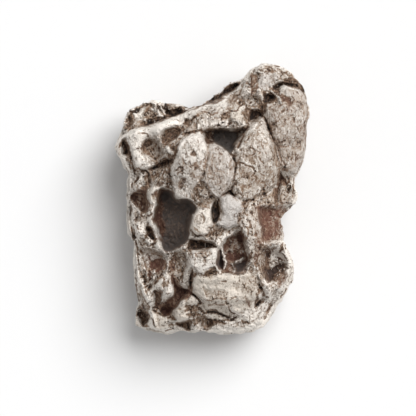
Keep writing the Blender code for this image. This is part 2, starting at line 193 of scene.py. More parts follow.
# %% [markdown]
# Painting a mask by hand means brushing over a line or inside an outline. The same is done
# here in code: each corner of the mesh is asked how far it lies from a drawn line, or how
# deep inside a drawn outline. A soft step turns that distance into a mask from 0 to 1.
# Only the corners near a drawing are asked, which keeps it quick.

# %% Brushes
CURVE_STEPS = 3
WANDER_SIZE = 2.6 * MM  # drawn edges stray this far along before they turn
WANDER_REACH = 0.45 * MM
RAGGED_SIZE = 0.9 * MM


def places(mesh):
    """Where each corner of a mesh is."""
    spots = np.empty(len(mesh.vertices) * 3)
    mesh.vertices.foreach_get("co", spots)
    return spots.reshape(-1, 3)


def normals(mesh):
    """Which way the surface looks at each corner of a mesh."""
    directions = np.empty(len(mesh.vertices) * 3)
    mesh.vertex_normals.foreach_get("vector", directions)
    return directions.reshape(-1, 3)


def soft_step(values):
    """0 below 0 and 1 above 1, with a soft run between."""
    clipped = np.clip(values, 0.0, 1.0)
    return clipped * clipped * (3.0 - 2.0 * clipped)


def rounded(corners, closed):
    """A Catmull-Rom curve through drawn corners, as Blender's curves round theirs."""
    before = np.roll(corners, 1, axis=0)
    after = np.roll(corners, -1, axis=0)
    if not closed:
        before[0], after[-1] = corners[0], corners[-1]
    pull = 0.5 * (after - before)
    ends = after if closed else corners[1:]
    curve = []
    for index, end in enumerate(ends):
        start = corners[index]
        pull_in = pull[(index + 1) % len(corners)]
        for t in np.arange(CURVE_STEPS) / CURVE_STEPS:
            curve.append(
                (2 * t**3 - 3 * t**2 + 1) * start + (t**3 - 2 * t**2 + t) * pull[index]
                + (3 * t**2 - 2 * t**3) * end + (t**3 - t**2) * pull_in)
    if not closed:
        curve.append(corners[-1])
    return np.array(curve)


def distance_to_line(plan, line, closed=False):
    """Shortest distance in plan from each place to a line."""
    ends = np.roll(line, -1, axis=0) if closed else line[1:]
    starts = line if closed else line[:-1]
    nearest = np.full(len(plan), np.inf)
    for start, end in zip(starts, ends):
        run = end - start
        along = np.clip((plan - start) @ run / max(run @ run, 1e-16), 0.0, 1.0)
        gap = plan - start - along[:, None] * run
        nearest = np.minimum(nearest, np.hypot(gap[:, 0], gap[:, 1]))
    return nearest


def near_box(plan, line, margin):
    """Numbers of the places that lie in a line's box, widened by a margin."""
    low, high = line.min(axis=0) - margin, line.max(axis=0) + margin
    return np.flatnonzero(np.all((plan > low) & (plan < high), axis=1))


def brush_line(plan, points, width, firm=1.0):
    """A mask along a drawn line, 1 on the line and 0 half a width (mm) beside it.

    A firm of 2 fills the middle half of the width, as a hard brush does.
    """
    line = rounded(on_sheet(points), closed=False)
    mask = np.zeros(len(plan))
    chosen = near_box(plan, line, width * MM)
    away = distance_to_line(plan[chosen], line) / (0.5 * width * MM)
    mask[chosen] = soft_step(firm * (1.0 - away))
    return mask


def brush_inside(plan, points, edge, shift=0.5):
    """A mask inside a drawn outline, with an edge of that width in mm.

    With a shift of 0.5 the mask is half on at the outline; with 0 it only starts there.
    """
    outline = rounded(on_sheet(points), closed=True)
    mask = np.zeros(len(plan))
    chosen = near_box(plan, outline, edge * MM)
    spots = plan[chosen]
    inside = np.zeros(len(spots), dtype=bool)
    for (x0, y0), (x1, y1) in zip(outline, np.roll(outline, -1, axis=0)):
        if y0 != y1:
            crosses = (spots[:, 1] < y0) != (spots[:, 1] < y1)
            inside ^= crosses & (spots[:, 0] < x0 + (spots[:, 1] - y0) * (x1 - x0) / (y1 - y0))
    depth = np.where(inside, 1.0, -1.0) * distance_to_line(spots, outline, closed=True)
    mask[chosen] = soft_step(shift + depth / (edge * MM))
    return mask


def wandering(plan, size, reach):
    """Places nudged by a smooth noise, so that a drawn edge breaks up like rock."""
    nudges = [noise.noise_vector(Vector((x, y, 0.0)) / size) for x, y in plan]
    return plan + reach * np.array(nudges)[:, :2]


print("brushes ready")

# %% [markdown]
# These are the forms of the crown, region by region. The largest are in the solid already,
# and here they get their crisp edges back. Each has a wear, from 0 for deep dark rust to 1
# for iron rubbed bare and pale; the plain surface lies near 0.7. A few rows also paint shade
# or light, and a comment above each says which. In each row: height and edge in mm, wear,
# outline. A height of zero is a stain, which has colour and no form.

# %% Plates, hollows and stains
AREAS = {
    "upper left lobe": [
        (-0.4, 0.8, 0.4, [(131, 112), (135, 118), (135, 125), (132, 129), (126, 130), (125, 124),
            (127, 118)]),
        (0.0, 1.0, 0.46, [(144, 103), (152, 103), (152, 110), (156, 115), (155, 121), (146, 122),
            (143, 115), (145, 109)]),
        (0.0, 1.2, 0.54, [(140, 122), (163, 121), (158, 126), (146, 129), (136, 129)]),
        (0.0, 0.7, 0.5, [(168, 102), (176, 103), (178, 107), (168, 109)]),
        (-0.7, 0.8, 0.2, [(167, 110), (178, 108), (190, 106.5), (195, 107), (184, 111), (176, 114),
            (166, 118)]),
    ],
    "ledge and left shoulder": [
        (0.3, 0.5, 1.0, [(125, 136), (131, 131), (150, 128), (166, 123), (184, 116), (184, 122), (178, 127),
            (165, 130), (161, 136), (153, 137), (146, 139), (140, 146), (131, 149)]),
        (0.3, 0.6, 0.74, [(184, 116), (196, 112), (206, 107), (204, 112), (194, 117), (186, 120)]),
        (0.2, 0.6, 0.86, [(131, 149), (140, 146), (142, 156), (148, 160), (152, 166), (150, 170),
            (136, 169), (133, 160)]),
        (0.0, 1.0, 0.5, [(146, 142), (150, 139), (153, 144), (155, 152), (152, 155), (144, 156), (141, 151),
            (143, 146)]),
        (0.0, 1.0, 0.58, [(150, 139), (158, 143), (162, 151), (164, 158), (160, 163), (153, 165),
            (150, 157), (154, 150)]),
        (-0.7, 0.6, 0.2, [(158, 163), (163, 159), (170, 160), (174, 161), (170, 165), (160, 166),
            (152, 170), (149, 169)]),
        (-0.8, 0.6, 0.22, [(124.5, 138), (128, 144), (130, 150), (130, 156), (125, 156), (120, 155),
            (120, 149), (122, 143)]),
        (0.0, 1.0, 0.52, [(124, 157), (132, 157), (134, 172), (130, 182), (126, 182), (127, 168)]),
        (-0.2, 1.0, 0.36, [(161, 137), (165, 131), (172, 129), (180, 128), (183, 131), (180, 137),
            (175, 141), (170, 145), (165, 146), (161, 141)]),
        (-0.8, 0.6, 0.18, [(184, 121), (187, 120), (187.5, 127), (185, 133), (183, 132)]),
        (-0.5, 0.8, 0.34, [(171, 148), (176, 142), (182, 139), (179, 146), (177, 153), (173, 159),
            (168, 158), (172, 153)]),
        (0.5, 0.5, 0.88, [(165, 147), (170, 146), (171, 150), (173, 155), (169, 155), (166, 151)]),
        (0.0, 1.0, 0.52, [(187, 122), (195, 117), (200, 118), (198, 127), (190, 131), (186, 130)]),
        (0.0, 1.2, 0.44, [(150, 171), (160, 166), (171, 163), (172, 176), (172, 186), (160, 186),
            (152, 182)]),
    ],
    "upper rim": [
        (0.2, 0.6, 0.58, [(196, 113), (205, 109), (217, 106), (225, 107), (225, 112), (221, 118),
            (217, 127), (205, 131), (196, 129)]),
        (-0.2, 0.7, 0.48, [(225, 108), (231, 110), (230, 119), (222, 121), (219, 121), (221, 116),
            (226, 112)]),
        (0.0, 1.0, 0.56, [(228, 98), (240, 92), (245, 98), (244, 104), (236, 109), (230, 110), (226, 106)]),
        (0.3, 0.5, 0.82, [(232, 112), (237, 111.5), (240, 109), (242, 113), (242, 121), (237, 121.5),
            (231, 120)]),
        (0.0, 0.8, 0.7, [(205, 122), (220, 121), (246, 122), (244, 127), (232, 129), (218, 130),
            (206, 129)]),
        (-0.3, 0.6, 0.3, [(207, 128), (213, 128), (219, 126), (222, 131), (215, 133), (208, 132)]),
        (-1.0, 0.6, 0.15, [(239.5, 82), (233, 84), (227, 87.5), (221, 93), (213, 95.5), (207, 99),
            (207, 104), (213, 105), (222, 101.5), (224, 97), (232, 92), (238, 89)]),
        (0.0, 0.6, 0.58, [(196, 106), (200, 102), (204, 101), (206, 105), (200, 107.5)]),
    ],
    "knob and saddle": [
        (0.0, 0.8, 0.5, [(265, 66), (268, 63), (274, 67), (276, 72), (272, 75), (266, 73)]),
        (-0.3, 0.7, 0.4, [(250, 76), (256, 77), (257, 84), (256, 94), (250, 94), (251, 84)]),
        (0.0, 1.0, 0.74, [(262, 76), (270, 74), (277, 76), (274, 83), (266, 92), (258, 88), (259, 80)]),
        (0.0, 0.8, 0.44, [(278, 75), (285, 75), (286, 80), (279, 81)]),
        (0.0, 0.7, 0.28, [(288, 79), (291, 75), (295, 78), (290, 82)]),
        (0.0, 0.8, 0.46, [(293, 80), (299, 79), (300, 86), (294, 86)]),
        (-0.5, 0.7, 0.16, [(271, 89), (275, 84), (281, 82), (286, 83), (283, 85), (280, 87), (278, 90),
            (280, 92), (277, 94), (273, 93)]),
        (-0.8, 0.6, 0.18, [(280, 82), (289, 79.5), (296, 81), (301, 84), (305, 92), (298, 91), (291, 88.5),
            (286, 86)]),
        (0.0, 1.0, 0.62, [(245, 97), (256, 95), (262, 97), (258, 104), (252, 108), (246, 106)]),
        (-0.3, 0.7, 0.3, [(243, 111), (250, 109), (252, 114), (250, 121), (246, 123), (243, 119)]),
        (-0.6, 0.6, 0.2, [(252, 113), (258, 108), (264, 102), (265, 112), (262, 116), (256, 117),
            (250, 121)]),
        (0.0, 0.8, 0.36, [(256, 103), (262, 98), (264, 104), (259, 109)]),
        (-0.7, 0.5, 0.14, [(266, 98), (271, 93), (276, 96), (277, 100), (275, 103), (266, 103)]),
        (-0.4, 0.6, 0.2, [(277, 94), (283, 95), (288, 98), (291, 101), (289, 103), (284, 103), (280, 99)]),
    ],
    "upper pit": [
        (-0.5, 0.5, 0.12, [(213, 135), (214, 131), (217, 134), (220, 130), (223, 133), (227, 130),
            (230, 133), (235, 131), (237, 136), (235, 144), (234, 150), (231, 153.5), (227, 152),
            (223, 147), (219, 145), (215, 143)]),
        (-0.2, 0.7, 0.44, [(205, 139), (210, 133), (215, 141), (216, 145), (211, 146), (208, 147),
            (205, 143)]),
        (-0.4, 0.6, 0.28, [(233, 129), (238, 127), (244, 127), (248, 125), (249, 128), (247, 131),
            (245, 134), (241, 133), (236, 132)]),
        (0.2, 0.6, 0.64, [(238, 134), (241, 134), (241, 140), (239, 146), (238, 151), (234, 153),
            (236, 145)]),
        (0.0, 0.7, 0.36, [(234, 131), (243, 128), (244, 136), (240, 143), (235, 150), (232.5, 147),
            (235, 139)]),
    ],
    "high plates": [
        (0.3, 0.5, 0.8, [(171, 168), (176, 162), (179, 157), (179, 150), (182, 143), (187, 139), (197, 136),
            (198, 133), (201, 134), (203, 140), (207, 146), (215, 145), (219, 146), (223, 150), (229, 155),
            (232, 160), (234, 168), (234, 180), (231, 188), (224, 193), (219, 198), (213, 194), (207, 187),
            (201, 180), (196, 186), (191, 194), (191, 200), (183, 198.5), (177, 198), (174, 186)]),
        (0.0, 0.6, 0.74, [(171, 168), (176, 162), (179, 157), (179, 150), (182, 143), (187, 139),
            (193, 137), (197, 136), (198, 133), (201, 134), (203, 140), (207, 147), (207, 157), (204, 170),
            (200, 180), (196, 186), (191, 194), (191, 200), (183, 198.5), (177, 198), (174, 186)]),
        (0.0, 1.4, 0.5, [(200, 181), (204, 184), (209, 189), (215, 197), (215, 204), (208, 210), (199, 208),
            (192, 201), (192, 193), (196, 186)]),
        (0.0, 0.6, 0.58, [(208, 151), (210, 147), (215, 145), (219, 146), (223, 150), (229, 155),
            (232, 160), (234, 168), (234, 180), (231, 188), (224, 193), (219, 198), (213, 194), (207, 187),
            (201, 180), (205, 168), (206, 157)]),
        (0.0, 0.6, 0.84, [(201, 179), (206, 184), (214, 191), (220, 194), (219, 198), (213, 194),
            (207, 187)]),
        (-0.3, 0.4, 0.26, [(190, 168), (193, 164), (195, 163), (198, 167), (195, 169.5), (191, 169)]),
        (0.0, 0.5, 0.44, [(190, 171), (196, 174), (202, 177), (199, 178), (190, 176)]),
        (-0.6, 0.4, 0.1, [(194, 148.5), (196, 153), (197, 156), (194, 157), (190.5, 156), (193, 153)]),
        (0.0, 0.8, 0.5, [(207, 158), (213, 157), (216, 161), (216, 165), (211, 165)]),
        (-0.2, 0.6, 0.44, [(230, 160), (233, 160), (237, 164), (236, 167), (233, 171), (231, 171)]),
        (-0.3, 0.4, 0.28, [(178, 182), (184, 177), (185, 180), (180, 184)]),
        (-0.5, 0.5, 0.24, [(223, 194), (228, 190.5), (231, 190), (234, 194), (239, 195.5), (236, 197.5),
            (231, 196)]),
        (-0.4, 0.6, 0.54, [(218, 200), (221, 202), (222, 208), (224, 216), (219, 213)]),
    ],
    "diamond plate": [
        (0.15, 0.5, 0.61, [(262, 117), (266, 124), (268, 133), (273, 144), (278, 160), (278, 172),
            (276, 184), (270, 191), (262, 196), (254, 199), (243, 200), (236, 194), (235, 186), (236, 172),
            (238, 160), (240, 147), (244, 138), (250, 131), (250, 124)]),
        (0.0, 0.8, 0.38, [(239, 166), (246, 170), (254, 175), (264, 182), (258, 184), (250, 181),
            (246, 177), (240, 173)]),
        (0.0, 0.8, 0.32, [(264, 171), (268, 169.5), (271, 173), (267, 176)]),
        (0.0, 1.0, 0.56, [(267, 146), (272, 150), (276, 162), (272, 164), (268, 154)]),
        (-0.3, 0.4, 0.4, [(240, 187), (243, 185), (246, 187), (244, 189), (244, 193), (241, 191)]),
    ],
    "right plate": [
        (0.15, 0.6, 0.51, [(266, 108), (275, 105), (291, 105), (292, 99), (285, 93), (287, 88), (293, 91),
            (304, 93), (309, 110), (308, 140), (303, 160), (296, 172), (282, 170), (277, 158), (272, 136),
            (268, 120)]),
        (0.0, 0.5, 0.42, [(286, 104), (291, 103), (290, 116), (286, 114)]),
        (0.0, 0.5, 0.4, [(272, 114), (276, 116), (277, 120), (273, 121)]),
        (0.0, 1.0, 0.46, [(295, 154), (302, 155), (302, 165), (296, 168)]),
        (0.0, 0.5, 0.42, [(265, 107), (270, 107), (269, 109.5), (265, 109)]),
        (-0.2, 0.6, 0.22, [(265, 120), (267, 120), (268.5, 125), (271.5, 129), (271, 134), (268, 133),
            (266, 128)]),
        (-0.2, 0.6, 0.34, [(279, 169), (281, 175), (286, 182), (289, 181), (288, 184), (284, 185),
            (279, 185), (278, 190), (277, 200), (273, 200), (275, 190), (277, 182), (278, 175)]),
    ],
    "slate plate and keyhole": [
        (0.2, 0.5, 0.76, [(220, 199), (222, 196), (226, 194), (230, 195), (232, 198), (237, 199),
            (241, 203), (241, 209), (239, 213), (237, 219), (236, 226), (228, 229), (221, 226), (216, 223),
            (222, 217), (223, 208)]),
        (-0.3, 0.5, 0.26, [(212, 211), (216, 208), (219, 212), (220, 217), (218, 221), (214, 223),
            (212, 217)]),
        (-0.5, 0.5, 0.2, [(241, 203), (246, 202), (254, 200), (250, 203), (247, 205), (246, 210),
            (243, 208)]),
        (0.0, 1.0, 0.62, [(235, 213), (243, 211), (243, 226), (236, 228)]),
    ],
    "crescent and pink hollow": [
        (0.0, 0.8, 0.74, [(129, 172), (137, 172), (137, 180), (130, 188)]),
        (0.0, 0.6, 0.8, [(139, 174), (145, 174), (144, 184), (139, 186)]),
        (-0.3, 0.6, 0.36, [(145, 176), (149, 175), (151, 179), (150, 188), (145, 190), (142, 188),
            (146, 184)]),
        (-0.2, 2.0, 0.39, [(131, 193), (138, 190), (146, 189), (147, 195), (149, 201), (152, 205),
            (151, 210), (147, 214), (142, 213), (138, 208), (132, 202)]),
        (0.0, 0.8, 0.3, [(139, 191), (146, 189), (147, 196), (141, 196)]),
        (0.5, 0.5, 0.92, [(167, 181), (160, 187), (152, 188.5), (148, 191), (147, 196), (149, 200),
            (153, 204), (156, 205), (156, 201), (153.5, 197), (153, 193.5), (158, 191), (163, 188.5),
            (168, 185)]),
        (0.0, 0.5, 0.36, [(167, 178), (171, 179), (174, 189), (168, 187)]),
        (0.0, 0.7, 0.86, [(152, 206), (155, 206), (154, 212), (151, 210)]),
        (0.0, 1.0, 0.56, [(134, 210), (141, 216), (143, 221), (136, 224), (132, 219)]),
        (-1.0, 0.6, 0.16, [(129, 201), (132, 205), (134, 210), (131, 216), (131, 222), (134, 230),
            (136, 236), (134, 239), (130, 236), (129, 228), (128.5, 215)]),
        (0.2, 0.6, 0.8, [(137, 222), (143, 223), (148, 219), (153, 219), (156, 226), (159, 235), (157, 241),
            (150, 227), (146, 225), (145, 232), (144, 237), (140, 240), (136, 236), (136, 228)]),
        (-0.5, 0.6, 0.28, [(147, 226), (151, 227), (154, 232), (157, 238), (157, 242), (154, 241),
            (152, 237), (148, 235), (146, 231)]),
        (0.4, 0.5, 0.86, [(144, 238), (148, 236.5), (152, 238), (153, 242), (148, 243), (145, 241)]),
        (0.2, 0.6, 0.82, [(155, 243), (159, 239), (160, 244), (163, 250), (166, 253), (163, 254),
            (158, 249), (154, 246)]),
        (0.0, 1.2, 0.54, [(141, 244), (154, 246), (160, 254), (150, 256), (142, 252)]),
    ],
    "great pit": [
        (-0.5, 0.5, 0.34, [(160, 190), (165, 189), (171, 191), (175, 194), (177, 198.5), (184, 199.5),
            (190, 201.5), (195, 205), (196, 208), (194, 212), (192, 218), (191, 224), (189, 230),
            (188, 237), (185, 243), (178, 248), (170, 251), (166, 252.5), (162, 248), (160, 243),
            (159, 236), (157, 230), (153, 223), (152, 219), (155, 213), (155, 207), (157, 202), (161, 199),
            (161, 194)]),
        (0.3, 0.8, 0.36, [(152, 193), (158, 190), (166, 188.5), (175, 193), (177, 198), (170, 199),
            (165, 204), (160, 208), (156, 205), (157, 197)]),
        (0.0, 0.5, 0.22, [(164, 190), (171, 191), (175, 194), (177, 198.5), (184, 199.5), (190, 201.5),
            (195, 205), (196, 208), (194, 212), (192, 218), (191, 224), (189, 230), (188, 237), (185, 243),
            (178, 248), (170, 251), (166, 252), (162, 248), (160, 242), (164, 235), (165, 226), (162, 216),
            (164, 206), (161, 198)]),
        (0.5, 0.4, 0.94, [(166, 254), (170, 254.5), (174, 256.5), (172, 258), (168, 256.5)]),
        (-0.4, 0.5, 0.22, [(171, 254), (175, 252), (179, 253), (176, 257)]),
    ],
    "nugget": [
        (0.4, 0.5, 0.84, [(199, 209.5), (204, 210.5), (208, 211), (210, 210), (211.5, 214), (213, 222),
            (211, 227), (207, 230), (205, 234), (200, 236), (196, 234.5), (191, 230), (190.5, 227),
            (192, 222), (192.5, 216), (195, 211)]),
        (-0.2, 0.8, 0.6, [(197, 212), (202, 213), (204, 219), (200, 224), (195, 220)]),
        (0.3, 0.5, 0.88, [(188, 241), (189, 235), (200, 237), (212, 240), (217, 243), (218, 247),
            (214, 244), (205, 240), (193, 238.5)]),
        # painted shade below the nugget: a carved hollow whose dark colour is partly rust, partly the
        # nugget's painted shadow
        (-0.8, 0.6, 0.28, [(188, 239.5), (196, 239), (204, 240.5), (210, 243), (216, 245), (215, 247),
            (208, 249.5), (198, 249), (190, 251), (188, 246)]),
        (0.0, 0.8, 0.52, [(213, 225), (218, 225), (224, 227), (227, 230), (223, 236), (216, 238),
            (208, 235), (207, 231)]),
        (0.3, 0.5, 0.86, [(216, 238), (222, 235), (227, 233), (231, 232), (228, 238), (224, 243),
            (221, 246), (222, 250), (219, 248), (216, 243)]),
    ],
    "red hollow": [
        (-0.4, 0.5, 0.52, [(231, 235), (236, 235), (240, 231), (243, 234), (245, 238), (245, 243),
            (247, 247), (247, 252), (250, 256), (250, 262), (247, 266), (244, 272), (238, 274), (230, 272),
            (224, 271), (218, 269), (216, 264), (216, 257), (218, 251), (221, 249), (223, 245),
            (226, 241)]),
        (-0.7, 0.5, 0.16, [(217, 251), (222, 250), (223, 256), (222, 267), (218, 268), (216, 262),
            (216, 256)]),
        (-0.6, 0.5, 0.15, [(226, 253), (232, 252), (240, 256), (239, 259), (232, 260), (226, 258)]),
        (-0.5, 0.5, 0.14, [(238, 236), (242, 235), (244, 240), (241, 243)]),
        (-0.7, 0.5, 0.15, [(235, 264), (241, 261), (247, 262), (246, 267), (243, 273), (237, 274)]),
        (0.0, 0.8, 0.36, [(224, 243), (230, 238), (231, 246), (225, 250)]),
    ],
    "column and red flank": [
        (0.1, 0.8, 0.66, [(244, 212), (247, 203), (255, 202), (257, 220), (256, 232), (254, 250),
            (250, 256), (247, 246), (244, 232)]),
        (0.0, 2.6, 0.24, [(257, 207), (262, 206), (266, 208), (272, 209), (280, 206), (284, 210),
            (282, 222), (282, 230), (278, 234), (273, 238), (268, 241), (263, 241), (262, 228),
            (259, 222)]),
        (0.0, 0.7, 0.26, [(266, 208), (269, 202), (271, 204), (270, 212), (268, 216)]),
        (0.0, 1.0, 0.36, [(269, 217), (277, 214), (279, 222), (272, 226)]),
        (0.0, 1.4, 0.5, [(279, 230), (284, 226), (285, 240), (276, 239)]),
        (0.0, 1.0, 0.46, [(255, 230), (260, 231), (262, 240), (260, 250), (258, 260), (254, 262),
            (253, 254), (255, 246)]),
        (0.0, 0.7, 0.34, [(273, 186), (277, 188), (277, 206), (273, 204)]),
    ],
    "side hollow": [
        (-0.2, 1.2, 0.86, [(261, 250), (268, 250), (275, 249), (281, 251), (285, 256), (288, 260),
            (285, 264), (283, 268), (281, 272), (277, 277), (273, 281), (269, 283), (267, 281), (264, 275),
            (262, 270), (262, 262)]),
        (-0.5, 0.8, 0.16, [(261, 270), (268, 269), (275, 267), (284, 263), (285, 268), (282, 274),
            (276, 281), (270, 285), (266, 282)]),
        (0.2, 0.7, 0.76, [(286, 264), (292, 262), (297, 268), (290, 282), (284, 290), (279, 290),
            (284, 276)]),
        (0.0, 0.8, 0.42, [(276, 281), (281, 274), (285, 271), (286, 276), (283, 284), (278, 288)]),
        (0.0, 0.7, 0.72, [(269, 283), (274, 282), (275, 290), (270, 293)]),
        # painted light: wear above 1 lifts this upper wall of the hollow out of its own shadow
        (0.3, 1.0, 1.3, [(271, 251), (281, 250), (287, 256), (287, 263), (280, 265), (271, 263)]),
    ],
    "white shelf": [
        (0.3, 0.5, 0.88, [(197, 250), (206, 251), (214, 247), (218, 247), (218, 251), (216, 257),
            (216, 263), (218, 270), (214, 267), (209, 269), (204, 272), (199, 272), (196, 269), (193, 266),
            (190, 262), (190, 256)]),
        (-0.1, 0.6, 0.54, [(197, 250), (210, 250), (209, 256), (206, 262), (201, 262), (197, 257)]),
        (-0.5, 0.5, 0.3, [(193, 267), (194, 270), (196, 273), (195, 277), (193, 281), (192, 288),
            (189, 287), (190, 279), (191, 272)]),
        (0.0, 1.8, 0.52, [(170, 257), (178, 252), (187, 252), (190, 257), (188, 265), (184, 274),
            (183, 284), (178, 279), (172, 274), (168, 270)]),
        (0.0, 0.8, 0.3, [(170, 260), (175, 258), (175, 268), (170, 272)]),
    ],
    "brown hollow": [
        (0.0, 2.0, 0.68, [(142, 252), (152, 254), (163, 256), (166, 258), (166, 266), (165, 270),
            (160, 274), (155, 274), (152, 280), (148, 279), (148, 268), (145, 262)]),
        (-0.2, 1.2, 0.28, [(150, 261), (158, 258), (165, 260), (166, 268), (160, 273), (153, 271),
            (149, 266)]),
    ],
    "trough": [
        (-0.5, 0.4, 0.29, [(171, 275), (175, 276), (178, 279), (181, 284), (184, 288), (190, 288),
            (193, 287), (192, 292), (190, 296), (186, 299), (182, 299), (179, 303), (177, 307), (172, 311),
            (168, 315), (163, 313), (160, 309), (161, 305), (165, 301), (170, 297), (174, 293), (174, 289),
            (172, 285), (171, 280)]),
        (0.4, 0.5, 0.8, [(148, 292), (152, 287), (157, 282), (163, 277), (170, 276), (172, 287), (173, 290),
            (169, 294), (165, 297.5), (162, 297), (164, 291), (161, 289), (155, 291), (153, 296),
            (154, 307), (151, 303), (148, 298)]),
        (-0.2, 0.7, 0.42, [(163, 281), (169, 280), (170, 286), (164, 287)]),
        (-0.4, 0.5, 0.42, [(155, 291), (160, 289), (163, 291), (161, 296), (165, 299), (163, 303),
            (160, 306), (156, 306), (154, 303), (156, 297)]),
        (0.4, 0.5, 0.9, [(183, 302), (188, 298), (192, 295), (195, 297), (198, 302), (193, 304.5),
            (187, 305), (185, 307), (188, 312), (188, 317), (185, 320), (178, 320.5), (176, 317),
            (175, 311), (178, 307)]),
        (-0.5, 0.4, 0.24, [(192, 293.5), (195, 294), (198, 299), (200, 301), (204, 301.5), (200, 304),
            (196, 305), (198, 302), (196, 298)]),
    ],
    "cream plate": [
        (0.2, 0.6, 0.98, [(195, 276), (206, 277), (218, 274), (244, 274), (256, 272), (258, 284),
            (256, 300), (240, 312), (226, 300), (206, 300), (194, 292)]),
        (-0.6, 0.6, 0.22, [(204, 273), (208, 270), (214, 269), (218, 272), (216, 275), (211, 274.5),
            (206, 275)]),
        (0.0, 0.8, 0.54, [(206, 275), (213, 275), (212, 279), (208, 279)]),
        (-0.35, 1.0, 0.64, [(203, 286), (207, 289), (216, 289), (227, 291), (226, 296), (220, 298),
            (213, 299), (207, 298), (204, 293)]),
        (0.0, 0.8, 0.66, [(236, 278), (256, 276), (256, 290), (238, 292)]),
        (0.1, 0.5, 0.8, [(205, 299), (224, 298), (227, 306), (232, 313), (226, 314), (214, 310), (206, 312),
            (200, 306)]),
        (0.2, 0.5, 0.84, [(209, 313), (218, 313), (230, 318), (222, 319.5), (212, 318.5)]),
        (0.0, 0.8, 0.28, [(244, 296), (249, 300), (254, 299), (250, 302), (248, 307), (245, 302)]),
        (-0.6, 0.5, 0.17, [(256, 297), (258, 295), (259.5, 303), (257, 308), (255, 305)]),
        (-0.4, 0.5, 0.22, [(257, 290), (261, 286), (262, 289), (259, 293)]),
        (0.0, 0.8, 0.54, [(261, 313), (266, 309), (264, 320), (259, 321)]),
        (0.1, 1.2, 0.78, [(232, 312), (244, 306), (256, 306), (268, 298), (284, 290), (276, 306),
            (266, 322), (252, 328), (230, 330), (222, 322)]),
        (0.1, 1.0, 0.84, [(206, 330), (216, 325), (230, 328), (226, 333), (208, 334)]),
    ],
    "lower edge": [
        (-0.3, 0.6, 0.38, [(171, 312), (176, 311), (176, 316), (174, 320), (170, 318), (168, 322),
            (167, 318)]),
        (-0.3, 0.7, 0.4, [(168, 323), (175, 322), (183, 320), (189, 319), (192, 318), (193, 321),
            (191, 325), (190, 330), (186, 330), (183, 327), (176, 325.5)]),
        (-0.4, 0.5, 0.46, [(194, 315), (203, 316), (209, 317), (211, 320), (216, 321), (216, 325),
            (211, 328), (208, 330), (204, 329), (201, 326), (200, 321), (196, 324), (194, 323)]),
        (-0.3, 0.5, 0.18, [(211, 320), (217, 321), (216, 324), (212, 323)]),
        (-0.3, 0.5, 0.4, [(186, 306), (191, 305), (197, 306), (199, 309), (196, 312), (189, 310)]),
        (0.2, 0.5, 0.84, [(154, 312), (160, 313), (167, 316), (168, 320), (167, 325), (169, 328),
            (160, 330), (154, 329)]),
    ],
    "lower left corner": [
        (0.0, 0.8, 0.52, [(139, 283), (144, 288), (150, 306), (151, 316), (146, 314), (141, 304)]),
        (0.4, 0.6, 0.86, [(132, 322), (134, 317), (137, 316), (140, 319), (141, 324), (139, 328),
            (133, 328)]),
        (-0.7, 0.6, 0.26, [(137, 309), (141, 304), (146, 309), (151, 316), (148, 320), (147, 326),
            (142, 326), (141, 320), (138, 316), (135, 315)]),
    ],
}
print(sum(map(len, AREAS.values())), "areas in", len(AREAS), "regions")
